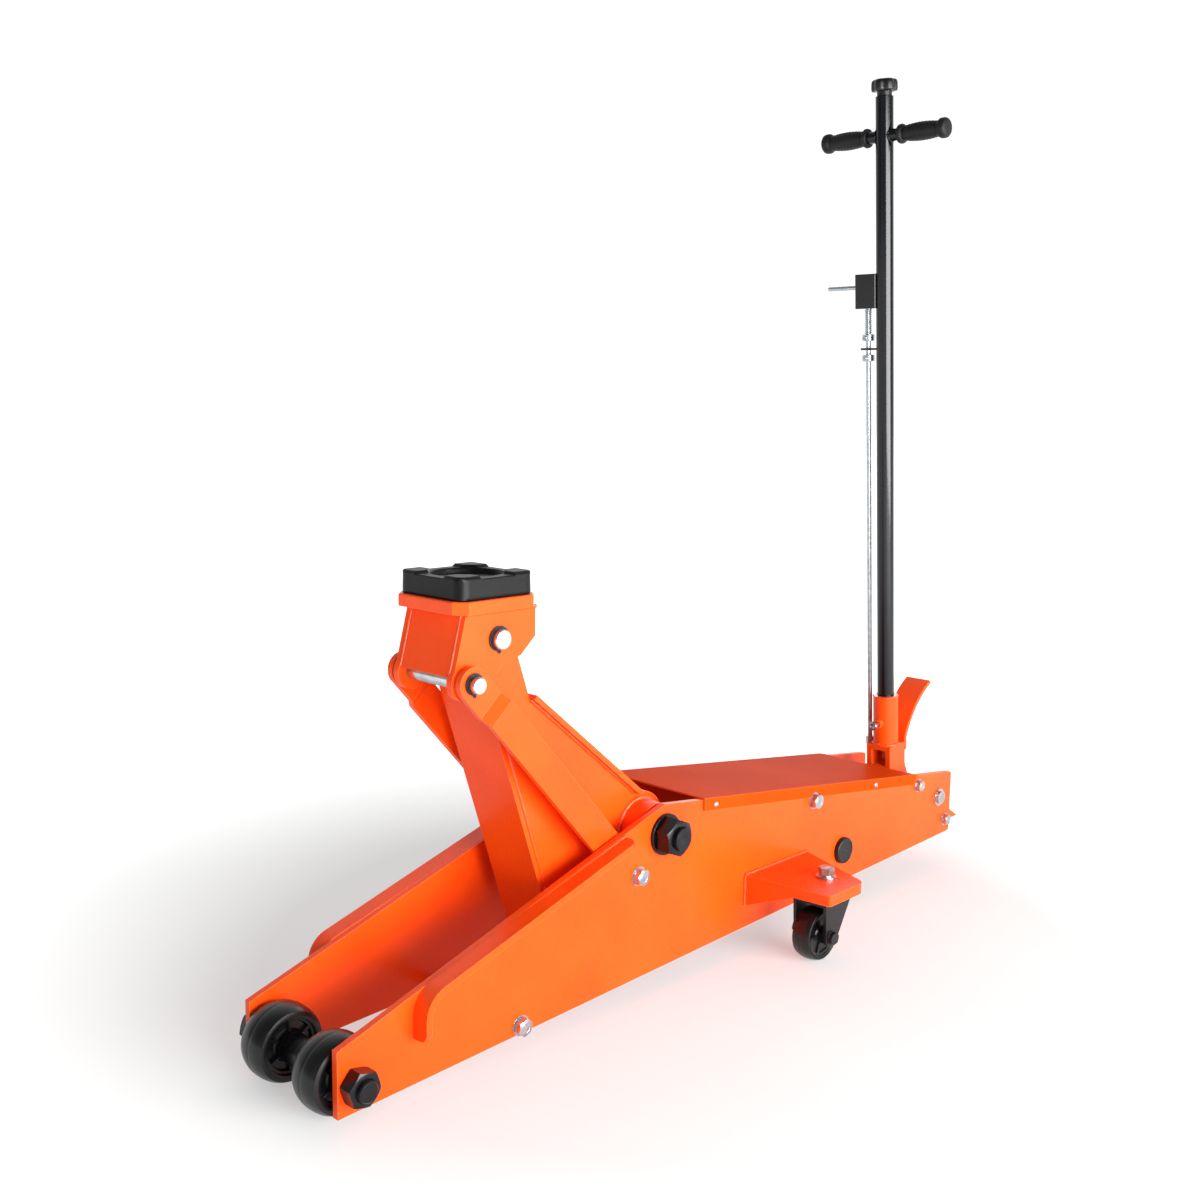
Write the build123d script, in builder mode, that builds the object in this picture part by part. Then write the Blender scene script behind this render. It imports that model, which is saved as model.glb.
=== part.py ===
from build123d import *
import os
from math import atan2, cos, degrees, hypot, radians, sin, tan

# Long-chassis trolley jack with a parallelogram saddle, shown with the arm raised.
# Millimetres. +X runs from the front wheels to the handle, +Y is the operator's right,
# Z = 0 is the floor and X = 0, Y = 0 is the middle of the jack's length and width.

# ---------------------------------------------------------------- clearances and fits
running_gap = 0.05        # radial play of a shaft in its bore
side_gap = 0.5            # axial play between parts that turn beside each other
link_pin_play = 0.5       # extra radial play where the parallelogram is left open
slot_play = 1.9           # play each side of the lever pin in the push head's slot
plunger_gap = 2.3         # room between the pump nose and the plunger head at rest

# ---------------------------------------------------------------- chassis plates
plate_thickness = 11.0
chassis_width = 219.0     # over the outer faces of the side plates
plate_front_x = -776.0
plate_rear_x = 751.5
plate_front_low_z = 15.1
plate_front_high_z = 108.6
plate_rear_low_z = 65.1
plate_rear_high_z = 190.1
crest_rise = 48.7         # height of the plate's crest above the main pivot
plate_corner_radius = 7.0
outer_y = chassis_width / 2
inner_y = outer_y - plate_thickness
mid_y = (outer_y + inner_y) / 2

# ---------------------------------------------------------------- main pivot and front axle
pivot_x = -144.8
pivot_z = 258.3
shaft_diameter = 50.0
shaft_end_diameter = 36.0
shaft_end_length = 41.0   # length of the threaded end outside the side plate
pivot_nut_flats = 55.0
pivot_nut_height = 28.0
pivot_washer_diameter = 68.0
pivot_washer_thickness = 6.0
axle_x = -748.0
axle_diameter = 30.0
axle_end_length = 31.0
axle_nut_flats = 46.0
axle_nut_height = 24.0
wheel_radius = 55.0
wheel_width = 54.7
wheel_mid_y = 62.4
wheel_crown = 5.0
hub_recess_depth = 9.0
hub_radius = 23.0
rim_radius = 40.0
axle_spacer_diameter = 44.0
axle_spacer_gap = 0.3

# ---------------------------------------------------------------- lifting arm
arm_length = 469.3        # main pivot to saddle pin
arm_angle = 47.83         # above horizontal at rest
web_outer_y = 53.5
web_thickness = 12.0
saddle_eye_radius = 34.0
pivot_boss_radius = 58.0
lever_eye_radius = 30.0
torque_tube_diameter = 92.0
torque_tube_bore = 62.0
torque_tube_half_length = 92.0
bush_length = 50.0
bush_flange_diameter = 80.0
bush_flange_thickness = 4.0
back_plate_half_width = 64.5
back_plate_thickness = 8.0
front_plate_thickness = 10.0
lever_length = 110.0      # main pivot to lever pin
lever_swing = 34.0        # lever angle either side of straight down
lever_pin_diameter = 25.0

# ---------------------------------------------------------------- parallelogram and saddle
link_offset_x = -60.0     # link pin seen from the saddle pin, and link pivot from the main pivot
link_offset_z = -55.5
link_width = 50.0
link_thickness = 10.0
link_outer_y = 94.0
link_joggle = 12.0        # inward step of the link's upper eye
link_joggle_length = 16.0
link_upper_eye_length = 46.0
saddle_pin_diameter = 30.0
saddle_pin_half_length = 77.0
link_pin_diameter = 25.0
link_pin_half_length = 95.5
link_bolt_diameter = 20.0
ear_inner_y = 54.0
ear_thickness = 11.5
ear_lobe_radius = 27.0
ear_boss_radius = 22.0
ear_boss_height = 5.8
saddle_plate_size = 154.0
saddle_plate_setback = -4.0  # middle of the plate and pad from the saddle pin
saddle_plate_thickness = 18.0
saddle_plate_rise = 41.5  # underside of the saddle plate above the saddle pin
saddle_plate_chamfer = 17.0
front_wall_thickness = 10.0
pad_size = 140.0
pad_height = 34.0
pad_corner_radius = 16.0
pad_dish_radius = 54.0
pad_dish_depth = 9.0
pad_corner_lift = 4.0
circlip_thickness = 2.0

# ---------------------------------------------------------------- hydraulic unit
ram_diameter = 50.0
cylinder_diameter = 90.0
cylinder_front_x = 15.0
gland_diameter = 100.0
gland_length = 26.0
pump_block_front_x = 300.0
pump_block_length = 130.0
pump_block_width = 140.0
pump_block_low_z = 78.0
trunnion_x = 360.2
trunnion_z = 113.2
trunnion_diameter = 36.0
trunnion_cap_diameter = 50.0
trunnion_cap_height = 10.0
barrel_diameter = 50.0
barrel_length = 160.0
plunger_diameter = 18.0
plunger_head_radius = 13.0
plunger_head_length = 8.0
plunger_z = 106.0
push_head_width = 76.0
push_head_height = 84.0
push_head_front = 26.0
push_head_length = 106.0

# ---------------------------------------------------------------- ties, cover, rear plate
tie_diameter = 20.0
tie_places = {
    "front": (-455.5, 38.3),
    "middle": (264.8, 228.2),
    "stop": (622.9, 185.3),
    "rear": (732.8, 91.9),
}
big_tie_names = ("front", "middle")
big_bolt_diameter = 16.0
big_bolt_flats = 24.0
big_bolt_head = 10.0
small_bolt_diameter = 12.0
small_bolt_flats = 19.0
small_bolt_head = 7.5
washer_overhang = 3.5
washer_thickness = 2.5
tapped_depth = 25.0
cover_front_x = -49.8
cover_rear_x = 597.0
cover_lip = 19.0          # length of the bevelled rear end
cover_thickness = 3.0
cover_flange = 18.0
cover_flange_gap = 0.4
cover_screw_diameter = 5.0
cover_screw_x = (-20.0, 462.9)
rear_plate_thickness = 12.0
rear_plate_angle = 32.5
rear_plate_tip_x = 803.0
rear_plate_tip_z = 83.0
rear_plate_front_x = 735.0

# ---------------------------------------------------------------- ribs and castors
rib_thickness = 10.0
rib_reach = 30.0
rib_front_x = -652.5
rib_end_x = -238.0
rib_end_z = 86.0
rib_bend_radius = 38.0
rib_corner_radius = 16.0
rib_drop = 2.0            # top of the rib below the plate's sloping edge
bracket_top_z = 137.5
bracket_thickness = 18.0
bracket_front_x = 66.4
bracket_rear_x = 246.0
bracket_tip_front_x = 84.0
bracket_tip_rear_x = 184.0
bracket_tip_y = 274.0
bracket_tip_radius = 20.0
bracket_front_radius = 5.0
gusset_thickness = 12.0
gusset_low_z = 81.5
gusset_reach = 98.0
kingpin_x = 158.0
kingpin_y = 214.0
kingpin_diameter = 16.0
kingpin_flats = 24.0
kingpin_head = 13.0
kingpin_washer_diameter = 35.0
kingpin_washer_thickness = 6.0
castor_gap = 1.0
castor_trail = 26.0
castor_radius = 46.0
castor_wheel_width = 36.0
castor_hub_half_width = 27.0
castor_hub_radius = 15.0
castor_axle_diameter = 12.0
fork_inner_half_width = 28.0
fork_cheek_thickness = 6.0
fork_bridge_thickness = 9.0
fork_race_radius = 33.0
fork_race_height = 8.0
fork_eye_radius = 16.0

# ---------------------------------------------------------------- handle
handle_pivot_x = 705.2
handle_pivot_z = 144.6
handle_pin_diameter = 25.0
handle_lean = 4.67        # forward lean of the handle at rest, degrees
socket_top_x = 672.2      # centre of the socket block's top face
socket_top_z = 245.0
block_size = 56.0
block_height = 57.0
block_wall = 10.0
window_size = 32.0
socket_eye_radius = 26.0
nose_reach = 45.0
nose_radius = 11.0
nose_half_width = 14.0
socket_tube_diameter = 50.9
socket_tube_length = 103.0
socket_tube_gap = 0.2
handle_diameter = 33.7
handle_wall = 3.2
handle_foot = 14.0        # bottom of the handle tube above the socket block
handle_top = 1275.0       # top of the handle tube above the socket block
knob_neck_diameter = 28.0
knob_gap = 0.5
knob_height = 23.0
knob_diameter = 50.0
knob_lobes = 6
release_rod_diameter = 10.0
t_bar_height = 1203.4     # above the socket block
t_bar_diameter = 23.0
grip_inner_y = 33.5
grip_outer_y = 136.0
grip_collar_radius = 18.0
grip_waist_radius = 13.5
grip_belly_radius = 17.0
grip_cap_radius = 18.5
pedal_thickness = 7.0
latch_rod_y = 38.0
latch_rod_diameter = 10.0
latch_block_low = 884.0   # above the socket block, as the next five
latch_block_height = 66.0
latch_block_outer_y = 58.0
latch_block_depth = 36.0
lever_diameter = 9.0
lever_height = 925.0
lever_end_y = 131.0
latch_travel = 8.0
collar_diameter = 24.0
collar_height = 13.0
upper_collar_low = 821.5
lower_collar_low = 782.0
tab_low = 804.0
tab_thickness = 4.0
latch_spring_diameter = 15.0
latch_spring_wire = 2.0

os.makedirs("parts", exist_ok=True)


def write(piece, name):
    """Label a finished piece and write it as one STEP file."""
    piece.part.label = name
    export_step(piece.part, f"parts/{name}.step")


def side_plane(y):
    """Plane parallel to the side plates at this y: sketch axes are global X and Z."""
    return Plane(origin=(0, y, 0), x_dir=(1, 0, 0), z_dir=(0, -1, 0))


def top_edge_z(x):
    """Height of the side plate's top edge at x."""
    crest_z = pivot_z + crest_rise
    if x < pivot_x:
        return crest_z + (plate_front_high_z - crest_z) * (x - pivot_x) / (plate_front_x - pivot_x)
    return crest_z + (plate_rear_high_z - crest_z) * (x - pivot_x) / (plate_rear_x - pivot_x)


# ================================================================ shared positions
saddle_pin_x = pivot_x - arm_length * cos(radians(arm_angle))
saddle_pin_z = pivot_z + arm_length * sin(radians(arm_angle))
link_pin_x = saddle_pin_x + link_offset_x
link_pin_z = saddle_pin_z + link_offset_z
link_pivot_x = pivot_x + link_offset_x
link_pivot_z = pivot_z + link_offset_z
lever_pin_x = pivot_x - lever_length * sin(radians(lever_swing))
lever_pin_z = pivot_z - lever_length * cos(radians(lever_swing))
ram_z = pivot_z - lever_length * (1 + cos(radians(lever_swing))) / 2
arm_dir = Vector(-cos(radians(arm_angle)), 0, sin(radians(arm_angle)))
arm_plane = Plane(origin=(pivot_x, 0, pivot_z), x_dir=arm_dir, z_dir=(0, 1, 0))
handle_dir = Vector(-sin(radians(handle_lean)), 0, cos(radians(handle_lean)))
handle_side = Vector(cos(radians(handle_lean)), 0, sin(radians(handle_lean)))
handle_plane = Plane(origin=(socket_top_x, 0, socket_top_z), x_dir=handle_side, z_dir=handle_dir)
block_side_plane = Plane(origin=(socket_top_x, 0, socket_top_z), x_dir=handle_side, z_dir=(0, -1, 0))
eye_local = handle_plane.to_local_coords(Vector(handle_pivot_x, 0, handle_pivot_z))
eye_u = eye_local.X
eye_v = eye_local.Z


# ================================================================ side plates
def side_plate(side):
    """Flame-cut side plate: a long wedge with its crest over the main pivot."""
    with BuildPart() as plate:
        with BuildSketch(side_plane(side * mid_y)) as outline:
            with BuildLine():
                Polyline(
                    (plate_front_x, plate_front_low_z),
                    (plate_rear_x, plate_rear_low_z),
                    (plate_rear_x, plate_rear_high_z),
                    (pivot_x, pivot_z + crest_rise),
                    (plate_front_x, plate_front_high_z),
                    close=True,
                )
            make_face()
            fillet(outline.vertices().group_by(Axis.X)[-1], plate_corner_radius)
            with Locations((pivot_x, pivot_z)):
                Circle(shaft_end_diameter / 2 + running_gap, mode=Mode.SUBTRACT)
            with Locations((axle_x, wheel_radius)):
                Circle(axle_diameter / 2 + running_gap, mode=Mode.SUBTRACT)
            with Locations((link_pivot_x, link_pivot_z)):
                Circle(link_bolt_diameter / 2 + running_gap, mode=Mode.SUBTRACT)
            with Locations((trunnion_x, trunnion_z)):
                Circle(trunnion_diameter / 2 + running_gap, mode=Mode.SUBTRACT)
            with Locations((handle_pivot_x, handle_pivot_z)):
                Circle(handle_pin_diameter / 2 + running_gap, mode=Mode.SUBTRACT)
            for name, place in tie_places.items():
                bolt = big_bolt_diameter if name in big_tie_names else small_bolt_diameter
                with Locations(place):
                    Circle(bolt / 2 + running_gap, mode=Mode.SUBTRACT)
        extrude(amount=plate_thickness / 2, both=True)
    return plate


side_plate_left = side_plate(-1)
write(side_plate_left, "side_plate_left")
side_plate_right = side_plate(1)
write(side_plate_right, "side_plate_right")

# ================================================================ stiffener ribs
# A flat bar welded along each front slope, its lower end bent down.
rib_front_z = top_edge_z(rib_front_x) - rib_drop
with BuildPart() as stiffener_ribs:
    for side in (-1, 1):
        with BuildSketch(side_plane(side * (outer_y + rib_reach / 2))):
            with BuildLine():
                FilletPolyline(
                    (rib_front_x + rib_thickness / 2, rib_end_z),
                    (rib_front_x + rib_thickness / 2, rib_front_z),
                    (rib_end_x, top_edge_z(rib_end_x) - rib_drop - rib_thickness / 2),
                    radius=rib_bend_radius,
                )
            trace(line_width=rib_thickness)
        extrude(amount=rib_reach / 2, both=True)
    rib_corners = stiffener_ribs.edges().filter_by(lambda e: abs(e.length - rib_thickness) < 0.01)
    fillet(rib_corners.filter_by(lambda e: abs(e.center().Y) > outer_y + rib_reach / 2), rib_corner_radius)
write(stiffener_ribs, "stiffener_ribs")

# ================================================================ castor brackets
# A thick tapered plate welded flat to each side plate, with a gusset under its front edge,
# trimmed flush with the side plate's face.
with BuildPart() as castor_brackets:
    for side in (-1, 1):
        with BuildSketch(Plane.XY.offset(bracket_top_z - bracket_thickness)) as bracket_plan:
            with BuildLine():
                Polyline(
                    (bracket_front_x, side * outer_y),
                    (bracket_tip_front_x, side * bracket_tip_y),
                    (bracket_tip_rear_x, side * bracket_tip_y),
                    (bracket_rear_x, side * outer_y),
                    close=True,
                )
            make_face()
            tip_corners = bracket_plan.vertices().filter_by(lambda v: abs(abs(v.Y) - bracket_tip_y) < 1)
            fillet(tip_corners.filter_by(lambda v: v.X > kingpin_x), bracket_tip_radius)
            tip_corners = bracket_plan.vertices().filter_by(lambda v: abs(abs(v.Y) - bracket_tip_y) < 1)
            fillet(tip_corners.filter_by(lambda v: v.X < kingpin_x - bracket_tip_radius), bracket_front_radius)
            with Locations((kingpin_x, side * kingpin_y)):
                Circle(kingpin_diameter / 2 + running_gap, mode=Mode.SUBTRACT)
        extrude(amount=bracket_thickness)
        lean_x = bracket_tip_front_x - bracket_front_x
        lean_y = side * (bracket_tip_y - outer_y)
        gusset_face = Plane(origin=(bracket_front_x, side * outer_y, 0), x_dir=(lean_x, lean_y, 0),
                            z_dir=(lean_y, -lean_x, 0))
        with BuildSketch(gusset_face):
            with BuildLine():
                Polyline(
                    (0, bracket_top_z - bracket_thickness / 2),
                    (0, gusset_low_z),
                    (gusset_reach, bracket_top_z - bracket_thickness),
                    (gusset_reach, bracket_top_z - bracket_thickness / 2),
                    close=True,
                )
            make_face()
        extrude(amount=side * gusset_thickness)
        with BuildSketch(Plane.XY.offset(gusset_low_z)):
            with Locations((bracket_front_x, side * (outer_y - gusset_thickness / 2))):
                Rectangle(2 * gusset_thickness + 8, gusset_thickness)
        extrude(amount=bracket_top_z - gusset_low_z, mode=Mode.SUBTRACT)
write(castor_brackets, "castor_brackets")


# ================================================================ round bars and hex fasteners
def cross_bar(x, z, radius, low_y, high_y, mode=Mode.ADD):
    """Round bar along Y, for use inside a part builder."""
    with BuildSketch(side_plane((low_y + high_y) / 2)) as section:
        with Locations((x, z)):
            Circle(radius)
    extrude(section.sketch, amount=(high_y - low_y) / 2, both=True, mode=mode)


def cross_hex(x, z, flats, low_y, high_y):
    """Hexagonal head or nut along Y with its corners turned down."""
    with BuildSketch(side_plane((low_y + high_y) / 2)) as section:
        with Locations((x, z)):
            RegularPolygon(flats / 2, 6, major_radius=False, rotation=12)
            Circle(flats / 2 * 1.11, mode=Mode.INTERSECT)
    extrude(section.sketch, amount=(high_y - low_y) / 2, both=True)


# ================================================================ main pivot shaft and nuts
shaft_tip_y = outer_y + shaft_end_length
with BuildPart() as main_pivot_shaft:
    cross_bar(pivot_x, pivot_z, shaft_diameter / 2, -inner_y, inner_y)
    cross_bar(pivot_x, pivot_z, shaft_end_diameter / 2, -shaft_tip_y, shaft_tip_y)
write(main_pivot_shaft, "main_pivot_shaft")

nut_seat_y = outer_y + pivot_washer_thickness
with BuildPart() as main_pivot_nuts:
    for side in (-1, 1):
        washer_ys = sorted((side * outer_y, side * nut_seat_y))
        nut_ys = sorted((side * nut_seat_y, side * (nut_seat_y + pivot_nut_height)))
        cross_bar(pivot_x, pivot_z, pivot_washer_diameter / 2, *washer_ys)
        cross_hex(pivot_x, pivot_z, pivot_nut_flats, *nut_ys)
    cross_bar(pivot_x, pivot_z, shaft_end_diameter / 2, -shaft_tip_y, shaft_tip_y, Mode.SUBTRACT)
write(main_pivot_nuts, "main_pivot_nuts")

# ================================================================ front axle, nuts, spacers, wheels
axle_tip_y = outer_y + axle_end_length
with BuildPart() as front_axle:
    cross_bar(axle_x, wheel_radius, axle_diameter / 2, -axle_tip_y, axle_tip_y)
    chamfer(front_axle.edges().filter_by(GeomType.CIRCLE), 1.5)
write(front_axle, "front_axle")

with BuildPart() as front_axle_nuts:
    for side in (-1, 1):
        nut_ys = sorted((side * outer_y, side * (outer_y + axle_nut_height)))
        cross_hex(axle_x, wheel_radius, axle_nut_flats, *nut_ys)
    cross_bar(axle_x, wheel_radius, axle_diameter / 2, -axle_tip_y, axle_tip_y, Mode.SUBTRACT)
write(front_axle_nuts, "front_axle_nuts")

wheel_inner_y = wheel_mid_y - wheel_width / 2
wheel_outer_y = wheel_mid_y + wheel_width / 2
with BuildPart() as front_axle_spacers:
    cross_bar(axle_x, wheel_radius, axle_spacer_diameter / 2,
              -wheel_inner_y + axle_spacer_gap, wheel_inner_y - axle_spacer_gap)
    for side in (-1, 1):
        spacer_ys = sorted((side * (wheel_outer_y + axle_spacer_gap), side * inner_y))
        cross_bar(axle_x, wheel_radius, axle_spacer_diameter / 2, *spacer_ys)
    cross_bar(axle_x, wheel_radius, axle_diameter / 2, -inner_y, inner_y, Mode.SUBTRACT)
write(front_axle_spacers, "front_axle_spacers")


def roller_wheel(radius, width, crown, hub, rim, recess, bore, hub_half):
    """Half profile of a crowned wheel, turned about the sketch's Y axis."""
    with BuildLine() as half_profile:
        Polyline(
            (bore, -hub_half),
            (hub, -hub_half),
            (hub, -width / 2 + recess),
            (rim, -width / 2 + recess),
            (rim, -width / 2),
            (radius - crown, -width / 2),
        )
        ThreePointArc((radius - crown, -width / 2), (radius, 0), (radius - crown, width / 2))
        Polyline(
            (radius - crown, width / 2),
            (rim, width / 2),
            (rim, width / 2 - recess),
            (hub, width / 2 - recess),
            (hub, hub_half),
            (bore, hub_half),
            (bore, -hub_half),
        )
    make_face(half_profile.edges())


def front_wheel(side):
    """Cast front wheel with a dished web on both faces and a plain bore."""
    centre = Plane(origin=(axle_x, side * wheel_mid_y, wheel_radius), x_dir=(1, 0, 0), z_dir=(0, 0, 1))
    with BuildPart() as wheel:
        with BuildSketch(centre):
            roller_wheel(wheel_radius, wheel_width, wheel_crown, hub_radius, rim_radius,
                         hub_recess_depth, axle_diameter / 2 + running_gap, wheel_width / 2)
        revolve(axis=Axis(centre.origin, (0, 1, 0)))
    return wheel


for side_name, side in (("left", -1), ("right", 1)):
    write(front_wheel(side), f"front_wheel_{side_name}")

# ================================================================ tie rods, tie bolts, link bolts
with BuildPart() as tie_rods:
    for name, place in tie_places.items():
        cross_bar(*place, tie_diameter / 2, -inner_y, inner_y)
        bolt = big_bolt_diameter if name in big_tie_names else small_bolt_diameter
        for side in (-1, 1):
            hole_ys = sorted((side * inner_y, side * (inner_y - tapped_depth)))
            cross_bar(*place, bolt / 2, *hole_ys, Mode.SUBTRACT)
write(tie_rods, "tie_rods")

with BuildPart() as tie_bolts:
    for name, place in tie_places.items():
        big = name in big_tie_names
        bolt = big_bolt_diameter if big else small_bolt_diameter
        flats = big_bolt_flats if big else small_bolt_flats
        head = big_bolt_head if big else small_bolt_head
        for side in (-1, 1):
            seat_y = outer_y + washer_thickness
            shank_ys = sorted((side * (inner_y - tapped_depth + 1), side * seat_y))
            washer_ys = sorted((side * outer_y, side * seat_y))
            head_ys = sorted((side * seat_y, side * (seat_y + head)))
            cross_bar(*place, bolt / 2, *shank_ys)
            cross_bar(*place, flats / 2 + washer_overhang, *washer_ys)
            cross_hex(*place, flats, *head_ys)
write(tie_bolts, "tie_bolts")

link_inner_y = link_outer_y - link_thickness
with BuildPart() as link_pivot_bolts:
    for side in (-1, 1):
        seat_y = outer_y + washer_thickness
        shank_ys = sorted((side * (link_inner_y - side_gap), side * seat_y))
        collar_ys = sorted((side * (link_outer_y + side_gap), side * inner_y))
        washer_ys = sorted((side * outer_y, side * seat_y))
        head_ys = sorted((side * seat_y, side * (seat_y + big_bolt_head)))
        keeper_ys = sorted((side * (link_inner_y - side_gap - circlip_thickness),
                            side * (link_inner_y - side_gap)))
        cross_bar(link_pivot_x, link_pivot_z, link_bolt_diameter / 2, *shank_ys)
        cross_bar(link_pivot_x, link_pivot_z, link_bolt_diameter / 2 + 4, *collar_ys)
        cross_bar(link_pivot_x, link_pivot_z, link_bolt_diameter / 2 + 3, *keeper_ys)
        cross_bar(link_pivot_x, link_pivot_z, big_bolt_flats / 2 + washer_overhang, *washer_ys)
        cross_hex(link_pivot_x, link_pivot_z, big_bolt_flats, *head_ys)
write(link_pivot_bolts, "link_pivot_bolts")

# ================================================================ rear cross plate
plate_drop = tan(radians(rear_plate_angle))
plate_run = rear_plate_tip_x - rear_plate_front_x
with BuildPart() as rear_cross_plate:
    with BuildSketch(side_plane(0)):
        with BuildLine():
            Polyline(
                (rear_plate_tip_x, rear_plate_tip_z),
                (rear_plate_tip_x - rear_plate_thickness / sin(radians(rear_plate_angle)), rear_plate_tip_z),
                (rear_plate_front_x,
                 rear_plate_tip_z + plate_run * plate_drop - rear_plate_thickness / cos(radians(rear_plate_angle))),
                (rear_plate_front_x, rear_plate_tip_z + plate_run * plate_drop),
                close=True,
            )
        make_face()
    extrude(amount=inner_y, both=True)
write(rear_cross_plate, "rear_cross_plate")

# ================================================================ top cover and its screws
cover_outer_y = outer_y + cover_flange_gap + cover_thickness
cover_lip_x = cover_rear_x + cover_lip
notch_radius = big_bolt_flats / 2 + washer_overhang + 1
with BuildPart() as top_cover:
    for low_y, high_y, depth in (
        (-cover_outer_y, cover_outer_y, 0.0),
        (-cover_outer_y, -cover_outer_y + cover_thickness, cover_flange),
        (cover_outer_y - cover_thickness, cover_outer_y, cover_flange),
    ):
        with BuildSketch(side_plane((low_y + high_y) / 2)):
            with BuildLine():
                Polyline(
                    (cover_front_x, top_edge_z(cover_front_x) - depth),
                    (cover_rear_x, top_edge_z(cover_rear_x) - depth),
                    (cover_lip_x, top_edge_z(cover_lip_x) + 1),
                    (cover_rear_x, top_edge_z(cover_rear_x) + cover_thickness),
                    (cover_front_x, top_edge_z(cover_front_x) + cover_thickness),
                    close=True,
                )
            make_face()
        extrude(amount=(high_y - low_y) / 2, both=True)
    cross_bar(*tie_places["middle"], notch_radius, -cover_outer_y, cover_outer_y, Mode.SUBTRACT)
write(top_cover, "top_cover")

with BuildPart() as cover_screws:
    for x in cover_screw_x:
        for side in (-1, 1):
            head_ys = sorted((side * cover_outer_y, side * (cover_outer_y + 2.5)))
            cross_bar(x, top_edge_z(x) - cover_flange / 2, cover_screw_diameter, *head_ys)
write(cover_screws, "cover_screws")

# ================================================================ arm weldment
# Arm sketches use u along the arm from the main pivot and v square to it, towards the back.
back_line_slope = -0.15
back_line_u = 333.0
back_line_v = -11.7
front_line_slope = 0.4305
front_line_v = -244.4     # v of the front plate's outer face carried back to u = 0
front_normal = front_plate_thickness * hypot(1, front_line_slope)
back_normal = back_plate_thickness * hypot(1, back_line_slope)
arm_foot_u = 20.0
arm_back_end_u = 348.0
lever_local = arm_plane.to_local_coords(Vector(lever_pin_x, 0, lever_pin_z))
lever_u = lever_local.X
lever_v = lever_local.Y


def back_line(u):
    """v of the arm's back edge at u."""
    return back_line_v + (u - back_line_u) * back_line_slope


def front_line(u):
    """v of the web's front edge at u, under the front plate."""
    return front_line_v + front_normal + u * front_line_slope


with BuildPart() as arm_webs:
    for side in (-1, 1):
        with BuildSketch(arm_plane.offset(side * (web_outer_y - web_thickness / 2))):
            with BuildLine():
                Polyline(
                    (arm_length - 14.3, saddle_eye_radius - 3.1),
                    (arm_back_end_u, back_line(arm_back_end_u)),
                    (20, back_line(20)),
                    (-0.98 * pivot_boss_radius, -0.19 * pivot_boss_radius),
                    (lever_u - 0.994 * lever_eye_radius, lever_v + 0.11 * lever_eye_radius),
                    (lever_u + 0.43 * lever_eye_radius, lever_v - 0.9 * lever_eye_radius),
                    (arm_foot_u, front_line(arm_foot_u)),
                    (arm_length - 24, front_line(arm_length - 24)),
                    close=True,
                )
            make_face()
            with Locations((arm_length, 0)):
                Circle(saddle_eye_radius)
            Circle(pivot_boss_radius)
            with Locations((lever_u, lever_v)):
                Circle(lever_eye_radius)
            with Locations((arm_length, 0)):
                Circle(saddle_pin_diameter / 2 + running_gap, mode=Mode.SUBTRACT)
            Circle(torque_tube_diameter / 2, mode=Mode.SUBTRACT)
            with Locations((lever_u, lever_v)):
                Circle(lever_pin_diameter / 2, mode=Mode.SUBTRACT)
        extrude(amount=web_thickness / 2, both=True)
write(arm_webs, "arm_webs")

with BuildPart() as arm_back_plate:
    with BuildSketch(arm_plane):
        with BuildLine():
            Polyline(
                (0, back_line(0)),
                (arm_back_end_u, back_line(arm_back_end_u)),
                (arm_back_end_u, back_line(arm_back_end_u) + back_normal),
                (0, back_line(0) + back_normal),
                close=True,
            )
        make_face()
        Circle(pivot_boss_radius, mode=Mode.SUBTRACT)
    extrude(amount=back_plate_half_width, both=True)
write(arm_back_plate, "arm_back_plate")

with BuildPart() as arm_front_plate:
    with BuildSketch(arm_plane):
        with BuildLine():
            Polyline(
                (arm_foot_u, front_line(arm_foot_u)),
                (arm_length - 46, front_line(arm_length - 46)),
                (arm_length - 46, front_line(arm_length - 46) - front_normal),
                (arm_foot_u, front_line(arm_foot_u) - front_normal),
                close=True,
            )
        make_face()
    extrude(amount=web_outer_y, both=True)
write(arm_front_plate, "arm_front_plate")

with BuildPart() as torque_tube:
    with BuildSketch(arm_plane):
        Circle(torque_tube_diameter / 2)
        Circle(torque_tube_bore / 2, mode=Mode.SUBTRACT)
    extrude(amount=torque_tube_half_length, both=True)
write(torque_tube, "torque_tube")

with BuildPart() as pivot_bushes:
    for side in (-1, 1):
        flange_y = side * (torque_tube_half_length + bush_flange_thickness / 2)
        with BuildSketch(arm_plane.offset(side * (torque_tube_half_length - bush_length / 2))):
            Circle(torque_tube_bore / 2)
            Circle(shaft_diameter / 2 + running_gap, mode=Mode.SUBTRACT)
        extrude(amount=bush_length / 2, both=True)
        with BuildSketch(arm_plane.offset(flange_y)):
            Circle(bush_flange_diameter / 2)
            Circle(shaft_diameter / 2 + running_gap, mode=Mode.SUBTRACT)
        extrude(amount=bush_flange_thickness / 2, both=True)
write(pivot_bushes, "pivot_bushes")

with BuildPart() as lever_pin:
    with BuildSketch(arm_plane):
        with Locations((lever_u, lever_v)):
            Circle(lever_pin_diameter / 2)
    extrude(amount=web_outer_y, both=True)
write(lever_pin, "lever_pin")


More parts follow.
